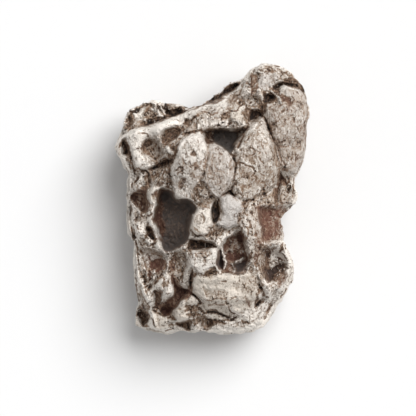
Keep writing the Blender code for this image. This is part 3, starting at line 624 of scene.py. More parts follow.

# %% [markdown]
# Cracks are cut and ridges are raised along drawn lines. They are about as wide as a pencil
# line, so they are left out of the solid and carved only here. A few lines also paint light
# or shade, and a comment above each says which. In each row: height and width in mm, wear,
# line. A crack has a height below zero.

# %% Cracks and ridges
LINES = {
    "upper left lobe": [
        (-0.7, 0.5, 0.2, [(157.5, 104), (160, 109), (163, 114), (164, 119)]),
        (-0.8, 0.7, 0.14, [(165, 99.5), (166, 106), (166, 113), (164, 119)]),
        (-0.5, 0.9, 0.2, [(150, 121), (157, 118.5), (165, 118.5)]),
        # dark line at the foot of the ledge: a crack whose dark colour is partly rust, partly painted shade
        (-0.7, 0.9, 0.18, [(146, 125.5), (154, 123), (163, 121), (170, 118.5), (178, 114.5), (188, 111),
            (199, 107.5)]),
        (0.4, 1.0, 0.84, [(154, 101), (155, 111)]),
        (0.5, 0.7, 0.84, [(160.5, 103), (163.5, 111)]),
        (0.4, 0.8, 0.84, [(157, 112), (160, 116)]),
        (0.3, 0.4, 0.82, [(166, 119.5), (172, 117.5), (181, 113.5)]),
        (0.2, 0.4, 0.82, [(176, 105), (182, 104.5), (188, 106)]),
        (0.3, 0.5, 0.8, [(187, 109.5), (193, 108.5), (198, 106.5)]),
    ],
    "ledge and left shoulder": [
        (0.35, 1.0, 0.92, [(126, 136), (131, 131.5), (138, 130), (150, 127.5), (157, 125), (165, 123.5),
            (172, 121), (178, 117.5), (190, 113), (200, 110)]),
        (-0.5, 0.6, 0.32, [(130, 152), (131, 158), (133, 164), (134, 170), (135, 174)]),
        (-0.7, 0.5, 0.12, [(136, 170), (140, 169), (142, 172), (147, 172), (150, 175)]),
        (-0.4, 0.4, 0.28, [(142, 148), (146, 143), (150, 140)]),
        (-0.3, 0.4, 0.45, [(138, 135), (145, 134), (149, 137)]),
        (0.3, 0.5, 0.82, [(156, 137), (160, 141), (163, 147), (164.5, 151)]),
        (0.2, 0.4, 0.66, [(154, 141), (158, 144)]),
        (0.2, 0.4, 0.64, [(157, 149), (162, 156)]),
        (-0.4, 0.5, 0.26, [(189, 121), (195, 118), (199, 116.5)]),
        (-0.5, 0.6, 0.22, [(184, 135), (190, 133), (196, 131.5), (203, 132), (206, 133)]),
        (0.2, 0.4, 0.66, [(175, 146), (181, 140), (190, 135)]),
        # dark line left of the high plate: a shallow crack painted dark as the plate's shade
        (-0.5, 0.8, 0.26, [(172, 159), (177, 151), (180, 143)]),
        (0.2, 0.4, 0.62, [(156, 182), (161, 174), (163, 170)]),
        (0.2, 0.4, 0.6, [(162, 184), (168, 174)]),
        (-0.3, 0.5, 0.24, [(168, 163), (170, 172), (167, 183)]),
    ],
    "upper rim": [
        (0.3, 0.7, 0.9, [(205, 109), (210, 106.5), (217, 105.5), (224, 106.5), (225.5, 109)]),
        (-0.4, 0.5, 0.2, [(196, 108), (202, 107.5), (207, 105), (212, 104.5)]),
        (-0.6, 0.5, 0.14, [(232, 111.5), (236, 111), (239, 108), (244, 105)]),
        (-0.3, 0.4, 0.24, [(221, 118), (226, 114)]),
        (0.2, 0.4, 0.76, [(221, 97.5), (225, 96)]),
        (0.3, 0.7, 0.84, [(227, 96.5), (229, 95.5)]),
        (0.2, 0.6, 0.68, [(216, 101.5), (219, 100.5)]),
        (-0.2, 0.4, 0.4, [(230, 103), (234, 98), (239, 96), (243, 99)]),
        (-0.2, 0.4, 0.42, [(232, 106), (236, 101), (240, 101)]),
        (-0.5, 0.7, 0.22, [(227, 127), (229, 125), (233, 124)]),
        (0.2, 0.6, 0.84, [(211, 127), (214, 129), (218, 129)]),
        (0.2, 0.6, 0.84, [(222, 127), (224, 130)]),
        (0.3, 0.5, 0.86, [(232, 124), (238, 122), (243, 125)]),
        (-0.3, 0.4, 0.3, [(205, 112), (212, 116), (218, 114)]),
    ],
    "knob and saddle": [
        (-0.4, 0.5, 0.24, [(252, 75), (251, 82), (252, 90), (251, 95)]),
        (-0.4, 0.5, 0.26, [(256.5, 80), (257, 87), (255, 93)]),
        (-0.3, 0.5, 0.26, [(256, 73), (260, 76), (258, 79)]),
        (-0.3, 0.5, 0.28, [(246, 84), (249, 84.5)]),
        (-0.3, 0.4, 0.28, [(245, 88), (249, 88.5)]),
        (0.3, 0.6, 0.86, [(245, 89), (246, 93), (249, 94)]),
        (0.3, 0.5, 0.86, [(256, 72), (261, 73), (264, 74)]),
        (0.3, 0.6, 0.84, [(257, 77), (258, 82)]),
        (0.3, 0.5, 0.84, [(271, 92), (275, 96), (278, 99), (280, 105)]),
        (0.2, 0.4, 0.78, [(278, 89.5), (281, 89)]),
        (0.2, 0.4, 0.8, [(277, 93), (281, 92.5)]),
        (0.2, 0.5, 0.86, [(261, 96), (262, 101)]),
        (-0.2, 0.4, 0.32, [(253, 97), (257, 102), (256, 106)]),
        (-0.2, 0.4, 0.34, [(247, 100), (252, 104), (254, 108)]),
        (0.2, 0.4, 0.82, [(246, 104), (250, 106), (256, 105)]),
        (0.2, 0.4, 0.66, [(257, 112), (260, 112)]),
        (-0.2, 0.4, 0.3, [(266, 68), (271, 72), (275, 73)]),
        (-0.2, 0.5, 0.3, [(276, 66.5), (279, 67)]),
        (-0.2, 0.4, 0.4, [(280, 71), (284, 73), (288, 72)]),
        (-0.6, 1.0, 0.2, [(264, 96), (265, 102), (264.5, 112), (262, 117)]),
    ],
    "upper pit": [
        (-0.5, 0.6, 0.22, [(242, 134), (242, 139), (239, 146), (239, 150)]),
        (0.3, 0.5, 0.84, [(231, 153), (235, 151), (239, 149)]),
        (0.3, 0.5, 0.86, [(239, 134), (240, 138), (238, 142)]),
        (0.2, 0.4, 0.84, [(240, 147), (245, 145)]),
        (0.3, 0.8, 0.84, [(238, 133), (240, 136)]),
        (0.3, 0.6, 0.8, [(237.5, 139), (238, 142)]),
        (0.3, 0.6, 0.86, [(241, 131), (242, 133)]),
    ],
    "high plates": [
        # pale rim round the high plate: raised edge wear with a painted highlight along it
        (0.3, 0.5, 0.8, [(171, 168), (176, 162), (179, 157), (179, 150), (182, 143), (187, 139), (197, 136),
            (198, 133), (201, 134), (203, 140), (207, 146), (215, 145), (219, 146), (223, 150), (229, 155),
            (232, 160), (234, 168), (234, 180), (231, 188), (224, 193), (219, 198), (213, 194), (207, 187),
            (201, 180), (196, 186), (191, 194), (191, 200), (183, 198.5), (177, 198), (174, 186)]),
        (0.3, 0.6, 0.95, [(179, 150), (183, 143), (188, 139), (197, 137)]),
        (0.3, 1.0, 0.95, [(198, 134), (201, 136)]),
        (-0.2, 0.35, 0.5, [(187, 156), (189, 158)]),
        (-0.3, 0.4, 0.22, [(176, 171), (178, 168.5), (182, 167), (183.5, 170), (180, 173), (177, 175)]),
        (-0.1, 0.35, 0.6, [(182, 157), (184, 162), (184, 167)]),
        (-0.2, 0.4, 0.42, [(202, 161), (201, 164)]),
        (-0.2, 0.4, 0.42, [(205, 163), (204, 167)]),
        (-0.2, 0.4, 0.46, [(199, 168), (203, 172)]),
        (-0.2, 0.4, 0.52, [(206, 165), (209, 170), (211, 174)]),
        (-0.2, 0.4, 0.46, [(211, 165), (211, 170)]),
        (-0.2, 0.4, 0.46, [(215, 166), (216, 171)]),
        (-0.2, 0.4, 0.54, [(213, 174), (214, 184)]),
        (-0.3, 0.5, 0.42, [(181, 188), (184, 182), (186, 178)]),
        (-0.6, 0.4, 0.08, [(236, 168), (235, 173), (234, 176), (234, 181), (233.5, 184), (231, 188),
            (229, 191)]),
        (-0.4, 0.4, 0.2, [(232, 158), (235, 161), (237.5, 164.5)]),
        (-0.3, 0.4, 0.26, [(230, 155), (233, 156), (236, 156)]),
        (-0.3, 0.4, 0.26, [(231, 160), (230, 166)]),
        (-0.3, 0.4, 0.22, [(232.5, 166), (231, 171)]),
        (-0.2, 0.4, 0.5, [(202, 182), (206, 185), (211, 190), (215, 196)]),
        (-0.6, 0.4, 0.2, [(218, 197), (218.5, 200), (217.5, 204), (217, 209)]),
        (-0.5, 0.5, 0.24, [(221, 196), (225, 193)]),
        (-0.4, 0.5, 0.2, [(219, 155), (221, 155.5)]),
        (-0.1, 0.5, 0.56, [(207, 147), (207.5, 152), (206, 158), (205, 163)]),
    ],
    "diamond plate": [
        (-0.5, 0.5, 0.22, [(238, 162), (241, 164), (246, 166), (251, 168.5), (256, 172)]),
        (0.2, 0.6, 0.84, [(242, 162), (248, 164.5), (254, 168), (258, 172)]),
        (-0.5, 0.5, 0.2, [(250.5, 148), (252.5, 150), (253.5, 153), (252.5, 156), (250, 157.5)]),
        (-0.2, 0.4, 0.46, [(247, 156), (250, 160), (254, 163)]),
        (-0.4, 0.5, 0.26, [(252, 177), (255, 177), (257, 179)]),
        (-0.2, 0.4, 0.42, [(240, 176), (245, 178), (252, 180), (260, 182)]),
        (-0.5, 0.5, 0.26, [(241, 195), (242, 197), (243, 199)]),
        (-0.6, 0.5, 0.2, [(247, 201), (253, 200), (254, 203)]),
        (-0.5, 0.5, 0.3, [(254, 197), (258, 194.5), (262, 191), (264, 188)]),
        (-0.9, 0.7, 0.14, [(263, 190.5), (263, 196)]),
        (-0.3, 0.6, 0.28, [(267, 138), (269, 136.5)]),
        (-0.2, 0.4, 0.42, [(260, 145), (262, 149)]),
        (-0.3, 0.5, 0.34, [(258, 159), (262, 162), (263, 164)]),
        (-0.3, 0.4, 0.38, [(272, 175), (273, 179), (272.5, 183)]),
        (-0.3, 0.4, 0.34, [(260, 174), (263, 176)]),
        (-0.2, 0.4, 0.44, [(258, 131), (257, 136)]),
        (-0.2, 0.4, 0.42, [(255, 120), (259, 124), (257, 128)]),
        (0.2, 0.7, 0.86, [(277, 186), (273, 190), (267, 194)]),
        (0.2, 0.5, 0.86, [(250, 131), (254, 128), (256, 124)]),
    ],
    "right plate": [
        (-0.4, 0.5, 0.15, [(263, 117), (266, 121), (268, 127), (269.5, 133), (272, 139), (274, 143),
            (276, 146.5)]),
        (-0.6, 0.7, 0.22, [(270, 129), (272, 126), (275, 124), (277, 121)]),
        (-0.5, 0.4, 0.2, [(277, 141), (279, 144), (281, 144), (285, 142)]),
        (-0.3, 0.7, 0.28, [(278, 148), (281, 149), (285, 148.5)]),
        (-0.3, 0.5, 0.36, [(295, 153), (295, 162)]),
        (-0.4, 0.5, 0.34, [(304, 112), (303, 120)]),
        (-0.5, 0.5, 0.3, [(305, 118), (304, 130)]),
        (-0.5, 0.6, 0.28, [(304.5, 133), (305, 146)]),
        (-0.4, 0.4, 0.38, [(308, 112), (307, 120)]),
        (-0.4, 0.5, 0.36, [(307, 136), (306, 144)]),
        (-0.4, 0.6, 0.34, [(293, 118), (294, 122)]),
        (-0.2, 0.5, 0.46, [(300, 127), (301, 129)]),
        (-0.3, 0.4, 0.34, [(279, 108), (281, 106)]),
        (-0.3, 0.4, 0.34, [(282, 112), (284, 109)]),
        (-0.2, 0.4, 0.38, [(275, 127), (276, 130)]),
        (-0.6, 0.5, 0.1, [(281, 176), (283, 179), (285.5, 182)]),
        (-0.7, 0.5, 0.18, [(290.5, 186), (289, 190), (288, 193)]),
        (-0.3, 0.5, 0.3, [(293, 173), (293.5, 178), (294, 186), (292.5, 191), (291, 197)]),
        (-0.3, 0.6, 0.4, [(286, 152), (288, 155), (287, 160)]),
        (-0.3, 0.5, 0.36, [(289, 156), (291, 160), (292, 155)]),
        (-0.4, 0.6, 0.3, [(283, 164), (284, 168), (282, 171), (286, 171)]),
        (-0.3, 0.5, 0.46, [(270, 149), (272, 153), (275, 160), (277, 166)]),
    ],
    "slate plate and keyhole": [
        (0.3, 0.6, 0.9, [(216, 223), (222, 225.5), (230, 228)]),
        (-0.2, 0.4, 0.42, [(233, 199), (236, 201)]),
        (0.2, 0.4, 0.76, [(219, 218), (222, 215)]),
        (-0.3, 0.5, 0.34, [(244, 213), (246, 216)]),
        (-0.3, 0.5, 0.36, [(238, 213), (240, 217), (238, 222)]),
        (-0.3, 0.5, 0.32, [(246, 226), (248, 229), (247, 233)]),
        (-0.3, 0.5, 0.34, [(242, 228), (240, 232)]),
        (-0.3, 0.6, 0.32, [(250, 214), (252, 214.5)]),
    ],
    "crescent and pink hollow": [
        (-0.7, 0.5, 0.18, [(139, 177), (137, 181), (133, 185), (132, 187)]),
        (0.3, 0.5, 0.86, [(130, 200), (133, 204), (136, 208), (139, 212), (141, 216)]),
        (-0.4, 0.5, 0.12, [(141.5, 213), (142, 216)]),
        (0.3, 0.7, 0.88, [(134, 210), (131.5, 216), (131, 221), (133, 226), (136, 229)]),
        (0.4, 1.0, 0.98, [(149, 213), (150.5, 214)]),
        (-0.4, 0.5, 0.2, [(149, 216), (152, 214.5), (155, 212)]),
        (0.3, 0.5, 0.9, [(152, 218), (155, 216)]),
        (0.4, 0.8, 0.93, [(152, 220), (155, 226), (158, 232), (160, 237)]),
        (-0.5, 0.6, 0.18, [(145, 237), (149, 235), (153, 236)]),
        (-0.5, 0.8, 0.24, [(157, 238), (155, 242), (152, 244)]),
        (-0.5, 0.5, 0.24, [(136, 240), (137, 250), (139, 258), (138, 266)]),
        (0.3, 0.7, 0.86, [(138, 240), (138, 247), (140, 255), (143, 261), (144, 263)]),
        (-0.4, 0.5, 0.3, [(137, 227), (139, 229)]),
        (0.4, 0.5, 0.92, [(160, 243), (162, 248), (165, 252)]),
    ],
    "great pit": [
        (0.5, 0.6, 0.95, [(166, 253), (169, 251.5), (175, 250), (180, 248), (184, 245), (188, 241)]),
        (-0.4, 0.4, 0.15, [(167, 254.5), (170, 253)]),
        (0.3, 0.5, 0.86, [(172, 187), (174, 190.5)]),
    ],
    "nugget": [
        (-0.5, 0.5, 0.14, [(191, 230.5), (194, 234), (197, 235.5), (201, 235.5)]),
        (-0.3, 0.4, 0.34, [(193, 226), (196, 229.5), (199, 232)]),
        (0.2, 0.5, 0.95, [(193, 214), (199, 210.5), (208, 212)]),
        (-0.3, 0.4, 0.44, [(203, 214), (204, 219), (202, 223)]),
        (-0.5, 0.6, 0.2, [(210, 228), (213, 229.5)]),
        (-0.5, 0.6, 0.22, [(206, 235), (210, 235.5)]),
        (-0.3, 0.5, 0.3, [(216, 234), (218, 236)]),
        (-0.4, 0.5, 0.16, [(190, 248), (199, 247.5), (208, 248), (215, 246)]),
        (0.2, 0.5, 0.48, [(191, 241.5), (199, 242), (207, 243.5)]),
    ],
    "red hollow": [
        (0.6, 0.7, 1.05, [(218, 244), (221, 247), (223, 252), (224.5, 257)]),
        (0.8, 0.9, 1.15, [(224.5, 255), (224.5, 262), (223.5, 267)]),
        (0.4, 0.7, 0.9, [(222, 245), (226, 240), (231, 233)]),
        (0.4, 0.5, 0.76, [(230, 241), (232, 243), (230, 245)]),
        (0.5, 0.7, 0.84, [(226, 252), (230, 250), (232, 253)]),
        (0.6, 1.0, 1.05, [(235.5, 262), (239, 260)]),
        (0.5, 0.8, 1.0, [(241, 259), (244, 257.5)]),
        (0.4, 0.6, 0.96, [(231, 263), (234, 266), (235, 270)]),
        (0.4, 0.6, 0.88, [(229.5, 269), (230.5, 269)]),
        (0.2, 0.4, 0.64, [(240, 250), (244, 253)]),
        (0.2, 0.4, 0.62, [(242, 249), (246, 252)]),
        (0.4, 0.6, 0.9, [(246, 250), (249, 252), (248, 256)]),
        (-0.5, 0.5, 0.15, [(251, 252), (250, 257)]),
        (-0.5, 0.6, 0.24, [(221, 272), (228, 271), (233, 273), (243, 274)]),
        (-0.5, 0.5, 0.2, [(240, 231), (243, 234), (246, 240)]),
    ],
    "column and red flank": [
        (-0.5, 0.8, 0.24, [(258, 208), (259, 215), (260, 222), (262, 228), (263, 236), (262, 244)]),
        (-0.4, 0.7, 0.16, [(268, 202), (267, 208)]),
        (-0.2, 0.5, 0.3, [(271, 222), (270, 226), (267, 232)]),
        (0.3, 0.5, 0.88, [(263.5, 241), (264, 244.5)]),
        (0.3, 0.5, 0.76, [(265, 248), (270, 245.5), (279, 243)]),
        (0.3, 0.5, 0.86, [(276, 250), (280, 243)]),
        (-0.4, 0.8, 0.24, [(268, 256), (270, 252), (273, 248.5), (275, 247)]),
        (-0.4, 0.6, 0.24, [(280, 251), (282, 244)]),
        (0.3, 0.7, 0.88, [(271, 251), (273, 253)]),
        (-0.4, 0.5, 0.24, [(283, 213), (286, 210)]),
        (-0.3, 0.4, 0.36, [(249, 222), (250, 226)]),
        (-0.3, 0.5, 0.36, [(281, 200), (280, 207)]),
    ],
    "side hollow": [
        (0.0, 2.4, 0.34, [(265, 251), (265, 258), (264, 264), (264, 270)]),
        (0.0, 1.8, 0.5, [(260.5, 240), (261, 248), (260.5, 258), (260, 268), (262, 276)]),
        (-0.3, 0.4, 0.28, [(276, 256), (280, 258), (284, 262)]),
        (-0.3, 0.4, 0.28, [(272, 260), (277, 263), (281, 265)]),
        (-0.3, 0.4, 0.28, [(282, 253), (285, 258), (287, 261)]),
        (0.3, 0.5, 0.72, [(274, 258), (279, 261), (282, 263)]),
        (0.3, 0.5, 0.68, [(269, 262), (273, 264)]),
        (0.4, 0.9, 0.9, [(286, 252), (290, 260), (295, 265)]),
        (0.4, 0.6, 0.84, [(269, 284), (271, 282), (274, 283)]),
        (0.2, 0.6, 0.74, [(258, 272), (260, 280), (266, 288), (270, 294)]),
    ],
    "white shelf": [
        (0.4, 1.2, 0.88, [(191, 262), (188, 269), (186, 276), (184, 285)]),
        (-0.2, 0.5, 0.5, [(202, 266), (205, 264)]),
        (0.3, 0.5, 0.86, [(188, 250), (188, 256)]),
        (-0.3, 0.5, 0.32, [(191, 251), (193, 257)]),
        (-0.3, 0.4, 0.3, [(201, 252), (203, 256), (206, 259)]),
        (-0.3, 0.4, 0.32, [(205, 252), (208, 255)]),
        (-0.4, 0.6, 0.22, [(214, 268), (216, 269.5)]),
        (-0.3, 0.5, 0.36, [(182, 272), (182, 280)]),
    ],
    "brown hollow": [
        (0.5, 0.6, 0.88, [(168, 257), (168, 264), (168, 269), (166, 272)]),
        (0.4, 0.8, 0.8, [(146, 266), (147, 273), (147, 280)]),
        (0.4, 0.5, 0.84, [(155, 270), (154, 276), (151, 281), (148, 285)]),
        (-0.4, 0.8, 0.26, [(155, 283), (158, 278), (162, 275)]),
        (-0.4, 0.7, 0.2, [(150, 271), (149, 279)]),
        (-0.4, 0.5, 0.28, [(143, 272), (145, 284)]),
        (-0.4, 0.5, 0.3, [(146, 290), (150, 286)]),
    ],
    "trough": [
        (-0.6, 0.6, 0.12, [(153, 308), (157, 307), (162, 309)]),
        (-0.5, 0.7, 0.22, [(155, 311), (160, 313), (166, 315)]),
        (0.2, 0.6, 0.76, [(156, 310), (160, 311)]),
        (0.4, 0.6, 1.0, [(172, 286), (173, 290), (169, 294), (164, 297.5), (162, 301)]),
        (-0.3, 0.6, 0.26, [(163, 277), (165, 279)]),
        (-0.4, 0.7, 0.28, [(180, 309), (181, 309.5)]),
        (-0.2, 0.5, 0.44, [(184, 311), (187, 310)]),
        (0.2, 0.5, 0.46, [(176, 280), (179, 286)]),
    ],
    "cream plate": [
        (-0.6, 0.6, 0.26, [(222.5, 281), (225.5, 280)]),
        (-0.3, 0.5, 0.4, [(203, 286), (203.5, 291), (206, 296)]),
        (-0.4, 0.4, 0.32, [(206, 299.5), (212, 299.5), (218, 298.5), (224, 297)]),
        (-0.4, 0.4, 0.3, [(208, 304.5), (218, 304.5), (224, 303)]),
        (-0.5, 0.5, 0.24, [(225, 297), (226, 302), (228, 306), (231, 310), (234, 313)]),
        (-0.6, 0.8, 0.2, [(198, 306), (201, 309), (205, 313)]),
        (-0.7, 0.9, 0.14, [(207, 312), (211, 311), (216, 311), (220, 313), (226, 315), (229, 317.5)]),
        (-0.6, 0.6, 0.22, [(209, 318), (213, 320), (219, 320.5), (226, 319.5), (232, 319.5), (235, 318)]),
        (-0.5, 0.8, 0.18, [(234.5, 317.5), (236, 317.5)]),
        (-0.25, 0.6, 0.36, [(262, 284), (260, 288), (257, 294)]),
        (-0.3, 0.6, 0.34, [(263, 293), (265, 295)]),
        (-0.3, 0.6, 0.32, [(261, 302), (263, 301)]),
        (-0.4, 0.6, 0.28, [(266.5, 297), (267.5, 298)]),
        (-0.4, 0.5, 0.32, [(236, 301), (238, 300)]),
        (-0.4, 0.5, 0.34, [(230, 298), (236, 297)]),
        (-0.4, 0.5, 0.32, [(241, 312), (242.5, 312)]),
        (-0.3, 0.5, 0.32, [(249, 280), (251, 282)]),
        (-0.3, 0.4, 0.38, [(242, 283), (246, 288)]),
        (-0.3, 0.4, 0.38, [(251, 289), (251, 295)]),
        (-0.15, 0.4, 0.46, [(271, 303), (268, 309), (265, 316), (263, 321)]),
        (-0.3, 0.4, 0.48, [(275, 306), (270, 314), (267, 320)]),
        (-0.3, 0.5, 0.44, [(287, 288), (281, 298)]),
        (-0.2, 0.4, 0.42, [(243, 321), (250, 324)]),
        (-0.2, 0.4, 0.44, [(216, 329), (221, 331)]),
    ],
    "lower edge": [
        # painted light: a pale rim of light along the lower edge, which faces away from the lamp
        (0.0, 1.6, 1.15, [(134, 329), (150, 331), (170, 333), (200, 333), (226, 331), (250, 327),
            (266, 320), (278, 306), (290, 292), (296, 276), (296, 262)]),
        (-0.5, 0.5, 0.14, [(218, 322), (221, 321.5), (224, 323.5)]),
        (-0.4, 0.8, 0.34, [(187, 314), (193, 314.5), (200, 315), (205, 316)]),
        (-0.4, 0.5, 0.15, [(186, 305.5), (190, 305), (193, 307)]),
        (-0.4, 0.5, 0.2, [(195, 324), (200, 322)]),
        (0.3, 0.7, 0.88, [(170, 321), (174, 322)]),
        (-0.3, 0.5, 0.36, [(166, 331), (172, 330)]),
    ],
    "lower left corner": [
        # painted light: a pale rim of light along the left edge, which faces away from the lamp
        (0.0, 1.4, 1.1, [(122, 150), (124, 160), (127, 172), (128, 190), (128, 215), (130, 236), (132, 252),
            (133, 270), (136, 300)]),
        (-0.4, 0.4, 0.32, [(135.5, 270), (136, 282), (137, 292), (138, 301)]),
        (0.4, 1.0, 1.1, [(134, 250), (136, 262), (139, 276), (143, 287), (147, 298), (151, 306),
            (152.5, 314), (154, 325)]),
        (-0.6, 0.6, 0.15, [(142, 303), (144, 307), (146, 312)]),
        (-0.6, 0.5, 0.18, [(152, 319), (153.5, 326)]),
        (-0.4, 0.5, 0.4, [(148, 302), (150, 310)]),
    ],
}
print(sum(map(len, LINES.values())), "cracks and ridges")

# %% [markdown]
# Now the crown is carved. First the smoothing brush takes off what is left of the facets,
# except in the deep pits, and a longer go of it planes down a few wide grooves between the
# plates. Other grooves are filled with clay, never higher than the brim around them: a
# smoothed copy of the stone tells where that brim is.
#
# Then every drawn form is pulled straight up or pressed straight down, because it was drawn
# from above. The steep flanks stay out of it, since they would smear. The amounts are
# painted into two vertex groups, one for up and one for down, and a Displace modifier moves
# each. Hand sculpting would do it too, but wouldn't repeat.

# %% Carve the drawn forms
CROWN_FROM = 11.0 * MM
CROWN_RISE = 2.5 * MM
STEEP = 0.05  # how much a face looks up: below this it isn't carved at all
STEEP_FADE = 0.45
SOFT_STROKES = 40
PIT_EDGE = 1.5  # in mm, as in the tables
PIT_SHIFT = 0.8
DEEP_PITS = [
    ("great pit", 0), ("upper pit", 0), ("slate plate and keyhole", 1), ("red hollow", 0),
    ("side hollow", 0), ("upper rim", 6)]
FILLS = [  # height and width in mm: clay pressed into grooves that the fine cracks cut again
    (2.6, 3.6, [(204, 131), (208, 137), (210, 145)]),
    (1.4, 2.6, [(244, 128), (242, 136), (239, 143)]),
    (0.6, 2.5, [(292, 172), (292, 182), (290, 196)]),
    (0.5, 2.5, [(196, 277), (204, 275), (218, 272), (240, 274), (254, 270)]),
    (0.5, 2.5, [(128, 158), (132, 168), (142, 171), (152, 170)]),
    (2.0, 5.0, [(145, 253), (152, 254), (160, 257)]),
    (0.7, 5.0, [(152, 262), (158, 266)]),
    (2.0, 5.0, [(171, 258), (180, 256), (187, 258)]),
    (3.0, 3.0, [(217.5, 199), (217, 204), (216, 210), (215.5, 218)]),
    (3.0, 5.5, [(272, 255), (281, 256), (286, 263)]),
    (1.2, 2.6, [(274, 145), (277, 153), (278.5, 162), (278, 172)]),
    (0.9, 6.0, [(150, 147), (155, 155)]),
    (1.6, 5.5, [(166, 138), (177, 133)]),
]
PLANED = [  # wide grooves of the solid that are only thin cracks on the real stone
    [(209, 152), (216, 148), (224, 152), (234, 158), (240, 149), (248, 136), (254, 124), (262, 116),
        (268, 106), (284, 98), (304, 104), (307, 140), (300, 166), (290, 180), (276, 198), (258, 206),
        (241, 204), (228, 190), (216, 188), (208, 176)],
    [(142, 250), (152, 255), (165, 256), (180, 254), (191, 252), (192, 266), (190, 284), (180, 286),
        (166, 276), (148, 284), (143, 268)],
]
PLANED_EDGE = 2.0  # in mm
PLANE_STROKES = 200
BRIM_STROKES = 250
FILL_HEAP = 1.6  # a smoothed copy sags below the true brim, so clay may go this much higher
FILL_FIRM = 2.0
RAISED_SHARE = 0.9
CUT_SHARE = 0.7
CRACK_SHARE = 0.55
BOWL_WALL = 3.0  # in mm
BOWL_DEPTH = 0.4  # in mm
BOWL_WEAR = 0.31  # hollows at least as dark as this are real bowls
CARVE_RAGGED = 0.3 * MM
GROUP_LEVELS = 250


def paint_group(name, mask):
    """A vertex group from a mask, in small even steps of weight."""
    group = stone.vertex_groups.new(name=name)
    level_of = np.round(np.clip(mask, 0.0, 1.0) * GROUP_LEVELS).astype(int)
    for level in np.unique(level_of[level_of > 0]):
        group.add(np.flatnonzero(level_of == level).tolist(), level / GROUP_LEVELS, "REPLACE")
    return group.name


def move_by(amounts, direction):
    """Displace each corner by its amount in metres, up and down in two goes."""
    for sign in (1.0, -1.0):
        part = np.clip(sign * amounts, 0.0, None)
        most = part.max()
        if most == 0.0:
            continue
        name = paint_group("move", part / most)
        finish_with(
            "DISPLACE", direction=direction, mid_level=0.0, strength=sign * most,
            vertex_group=name)
        stone.vertex_groups.remove(stone.vertex_groups[name])


spots = places(stone.data)
upward = normals(stone.data)[:, 2]
crown = soft_step((spots[:, 2] - CROWN_FROM) / CROWN_RISE)
crown *= soft_step((upward - STEEP) / STEEP_FADE)
plan = wandering(spots[:, :2], WANDER_SIZE, WANDER_REACH)
plan_fine = wandering(plan, RAGGED_SIZE, CARVE_RAGGED)

areas = [row for region in AREAS.values() for row in region]
lines = [row for region in LINES.values() for row in region]
pits = np.zeros(len(spots))
for region, number in DEEP_PITS:
    _, _, _, outline = AREAS[region][number]
    pits = np.maximum(pits, brush_inside(plan, outline, PIT_EDGE, shift=PIT_SHIFT))
planed = np.zeros(len(spots))
for outline in PLANED:
    planed = np.maximum(planed, brush_inside(plan, outline, PLANED_EDGE))

take(stone)
for name, mask, strokes in (("soft", 1.0, SOFT_STROKES), ("planed", planed, PLANE_STROKES)):
    group = paint_group(name, mask * crown * (1.0 - pits))
    finish_with("SMOOTH", iterations=strokes, vertex_group=group)
    stone.vertex_groups.remove(stone.vertex_groups[group])

bpy.ops.object.duplicate()
brim = bpy.context.object
finish_with("SMOOTH", iterations=BRIM_STROKES)
room = FILL_HEAP * np.clip(places(brim.data)[:, 2] - places(stone.data)[:, 2], 0.0, None)
bpy.data.objects.remove(brim)
take(stone)

relief = np.zeros(len(spots))
for height, width, line in FILLS:
    relief += np.minimum(height * MM, room) * brush_line(plan, line, width, FILL_FIRM)
for height, edge, wear, outline in areas:
    if height:
        share = RAISED_SHARE if height > 0.0 else CUT_SHARE
        relief += share * height * MM * brush_inside(plan_fine, outline, edge)
    if height < 0.0 and wear < BOWL_WEAR:
        relief -= BOWL_DEPTH * MM * brush_inside(plan_fine, outline, BOWL_WALL, shift=0.0)
for height, width, _, line in lines:
    share = RAISED_SHARE if height > 0.0 else CRACK_SHARE
    relief += share * height * MM * brush_line(plan_fine, line, width)
move_by(relief * crown, "Z")
print("drawn relief from", round(relief.min() * 1000, 2), "to", round(relief.max() * 1000, 2), "mm")

# %% [markdown]
# Between the drawn forms the surface is broken by creases, chips and grain. They follow no
# drawing, so noise makes them, each through a Displace modifier along the normal. A crease
# lies where a noise passes through zero. Cell borders give chips, and a ridged noise gives
# the crumbling crust. The raised plates and the flanks are calmer, so a mask holds all of
# it back there.

# %% Chips and grain
PLATE_EDGE = 1.2  # in mm
PLATE_CALM = 0.5
FLANK_ROUGH = 0.2
FLANK_TURN = 0.85  # a face that looks up or down less than this begins to be a flank
FLANK_TURN_FADE = 0.5
CREASE_DEPTH = 0.35 * MM
SHORT_CREASES = 0.7
CHIP_SIZE = 2.4 * MM
CHIP_DEPTH = 0.6 * MM
CRUST_SIZE = 1.4 * MM
CRUST_DEPTH = 0.7 * MM
GRAIN_SIZE = 0.55 * MM
GRAIN_DEPTH = 0.35 * MM
GRAIN_EVERYWHERE = 0.15


def noise_at(spots, size, offset):
    """Smooth noise between about -1 and 1 at each place, with lumps of that size."""
    return np.array([noise.noise(Vector(spot) / size + Vector(offset)) for spot in spots])


def creases(spots, size, thin, gap_size, offset, gap_offset):
    """Curved creases as a mask, broken off by gaps."""
    on_crease = soft_step(1.0 - np.abs(noise_at(spots, size, offset)) / thin)
    return on_crease * soft_step(0.4 + 2.0 * noise_at(spots, gap_size, gap_offset))


def crease_mask(spots):
    """Long creases, and shorter and weaker ones between them."""
    long_ones = creases(spots, 2.2 * MM, 0.10, 5.0 * MM, (0, 3, 0), (7, 0, 0))
    short_ones = creases(spots, 1.1 * MM, 0.14, 3.0 * MM, (0, 0, 5), (2, 9, 0))
    return np.maximum(long_ones, SHORT_CREASES * short_ones)


calm = np.zeros(len(spots))
for height, _, _, outline in areas:
    if height > 0.0:
        calm = np.maximum(calm, brush_inside(plan_fine, outline, PLATE_EDGE))
standing = soft_step((FLANK_TURN - np.abs(upward)) / FLANK_TURN_FADE)
rough = (1.0 - PLATE_CALM * calm) * (1.0 - (1.0 - FLANK_ROUGH) * standing)


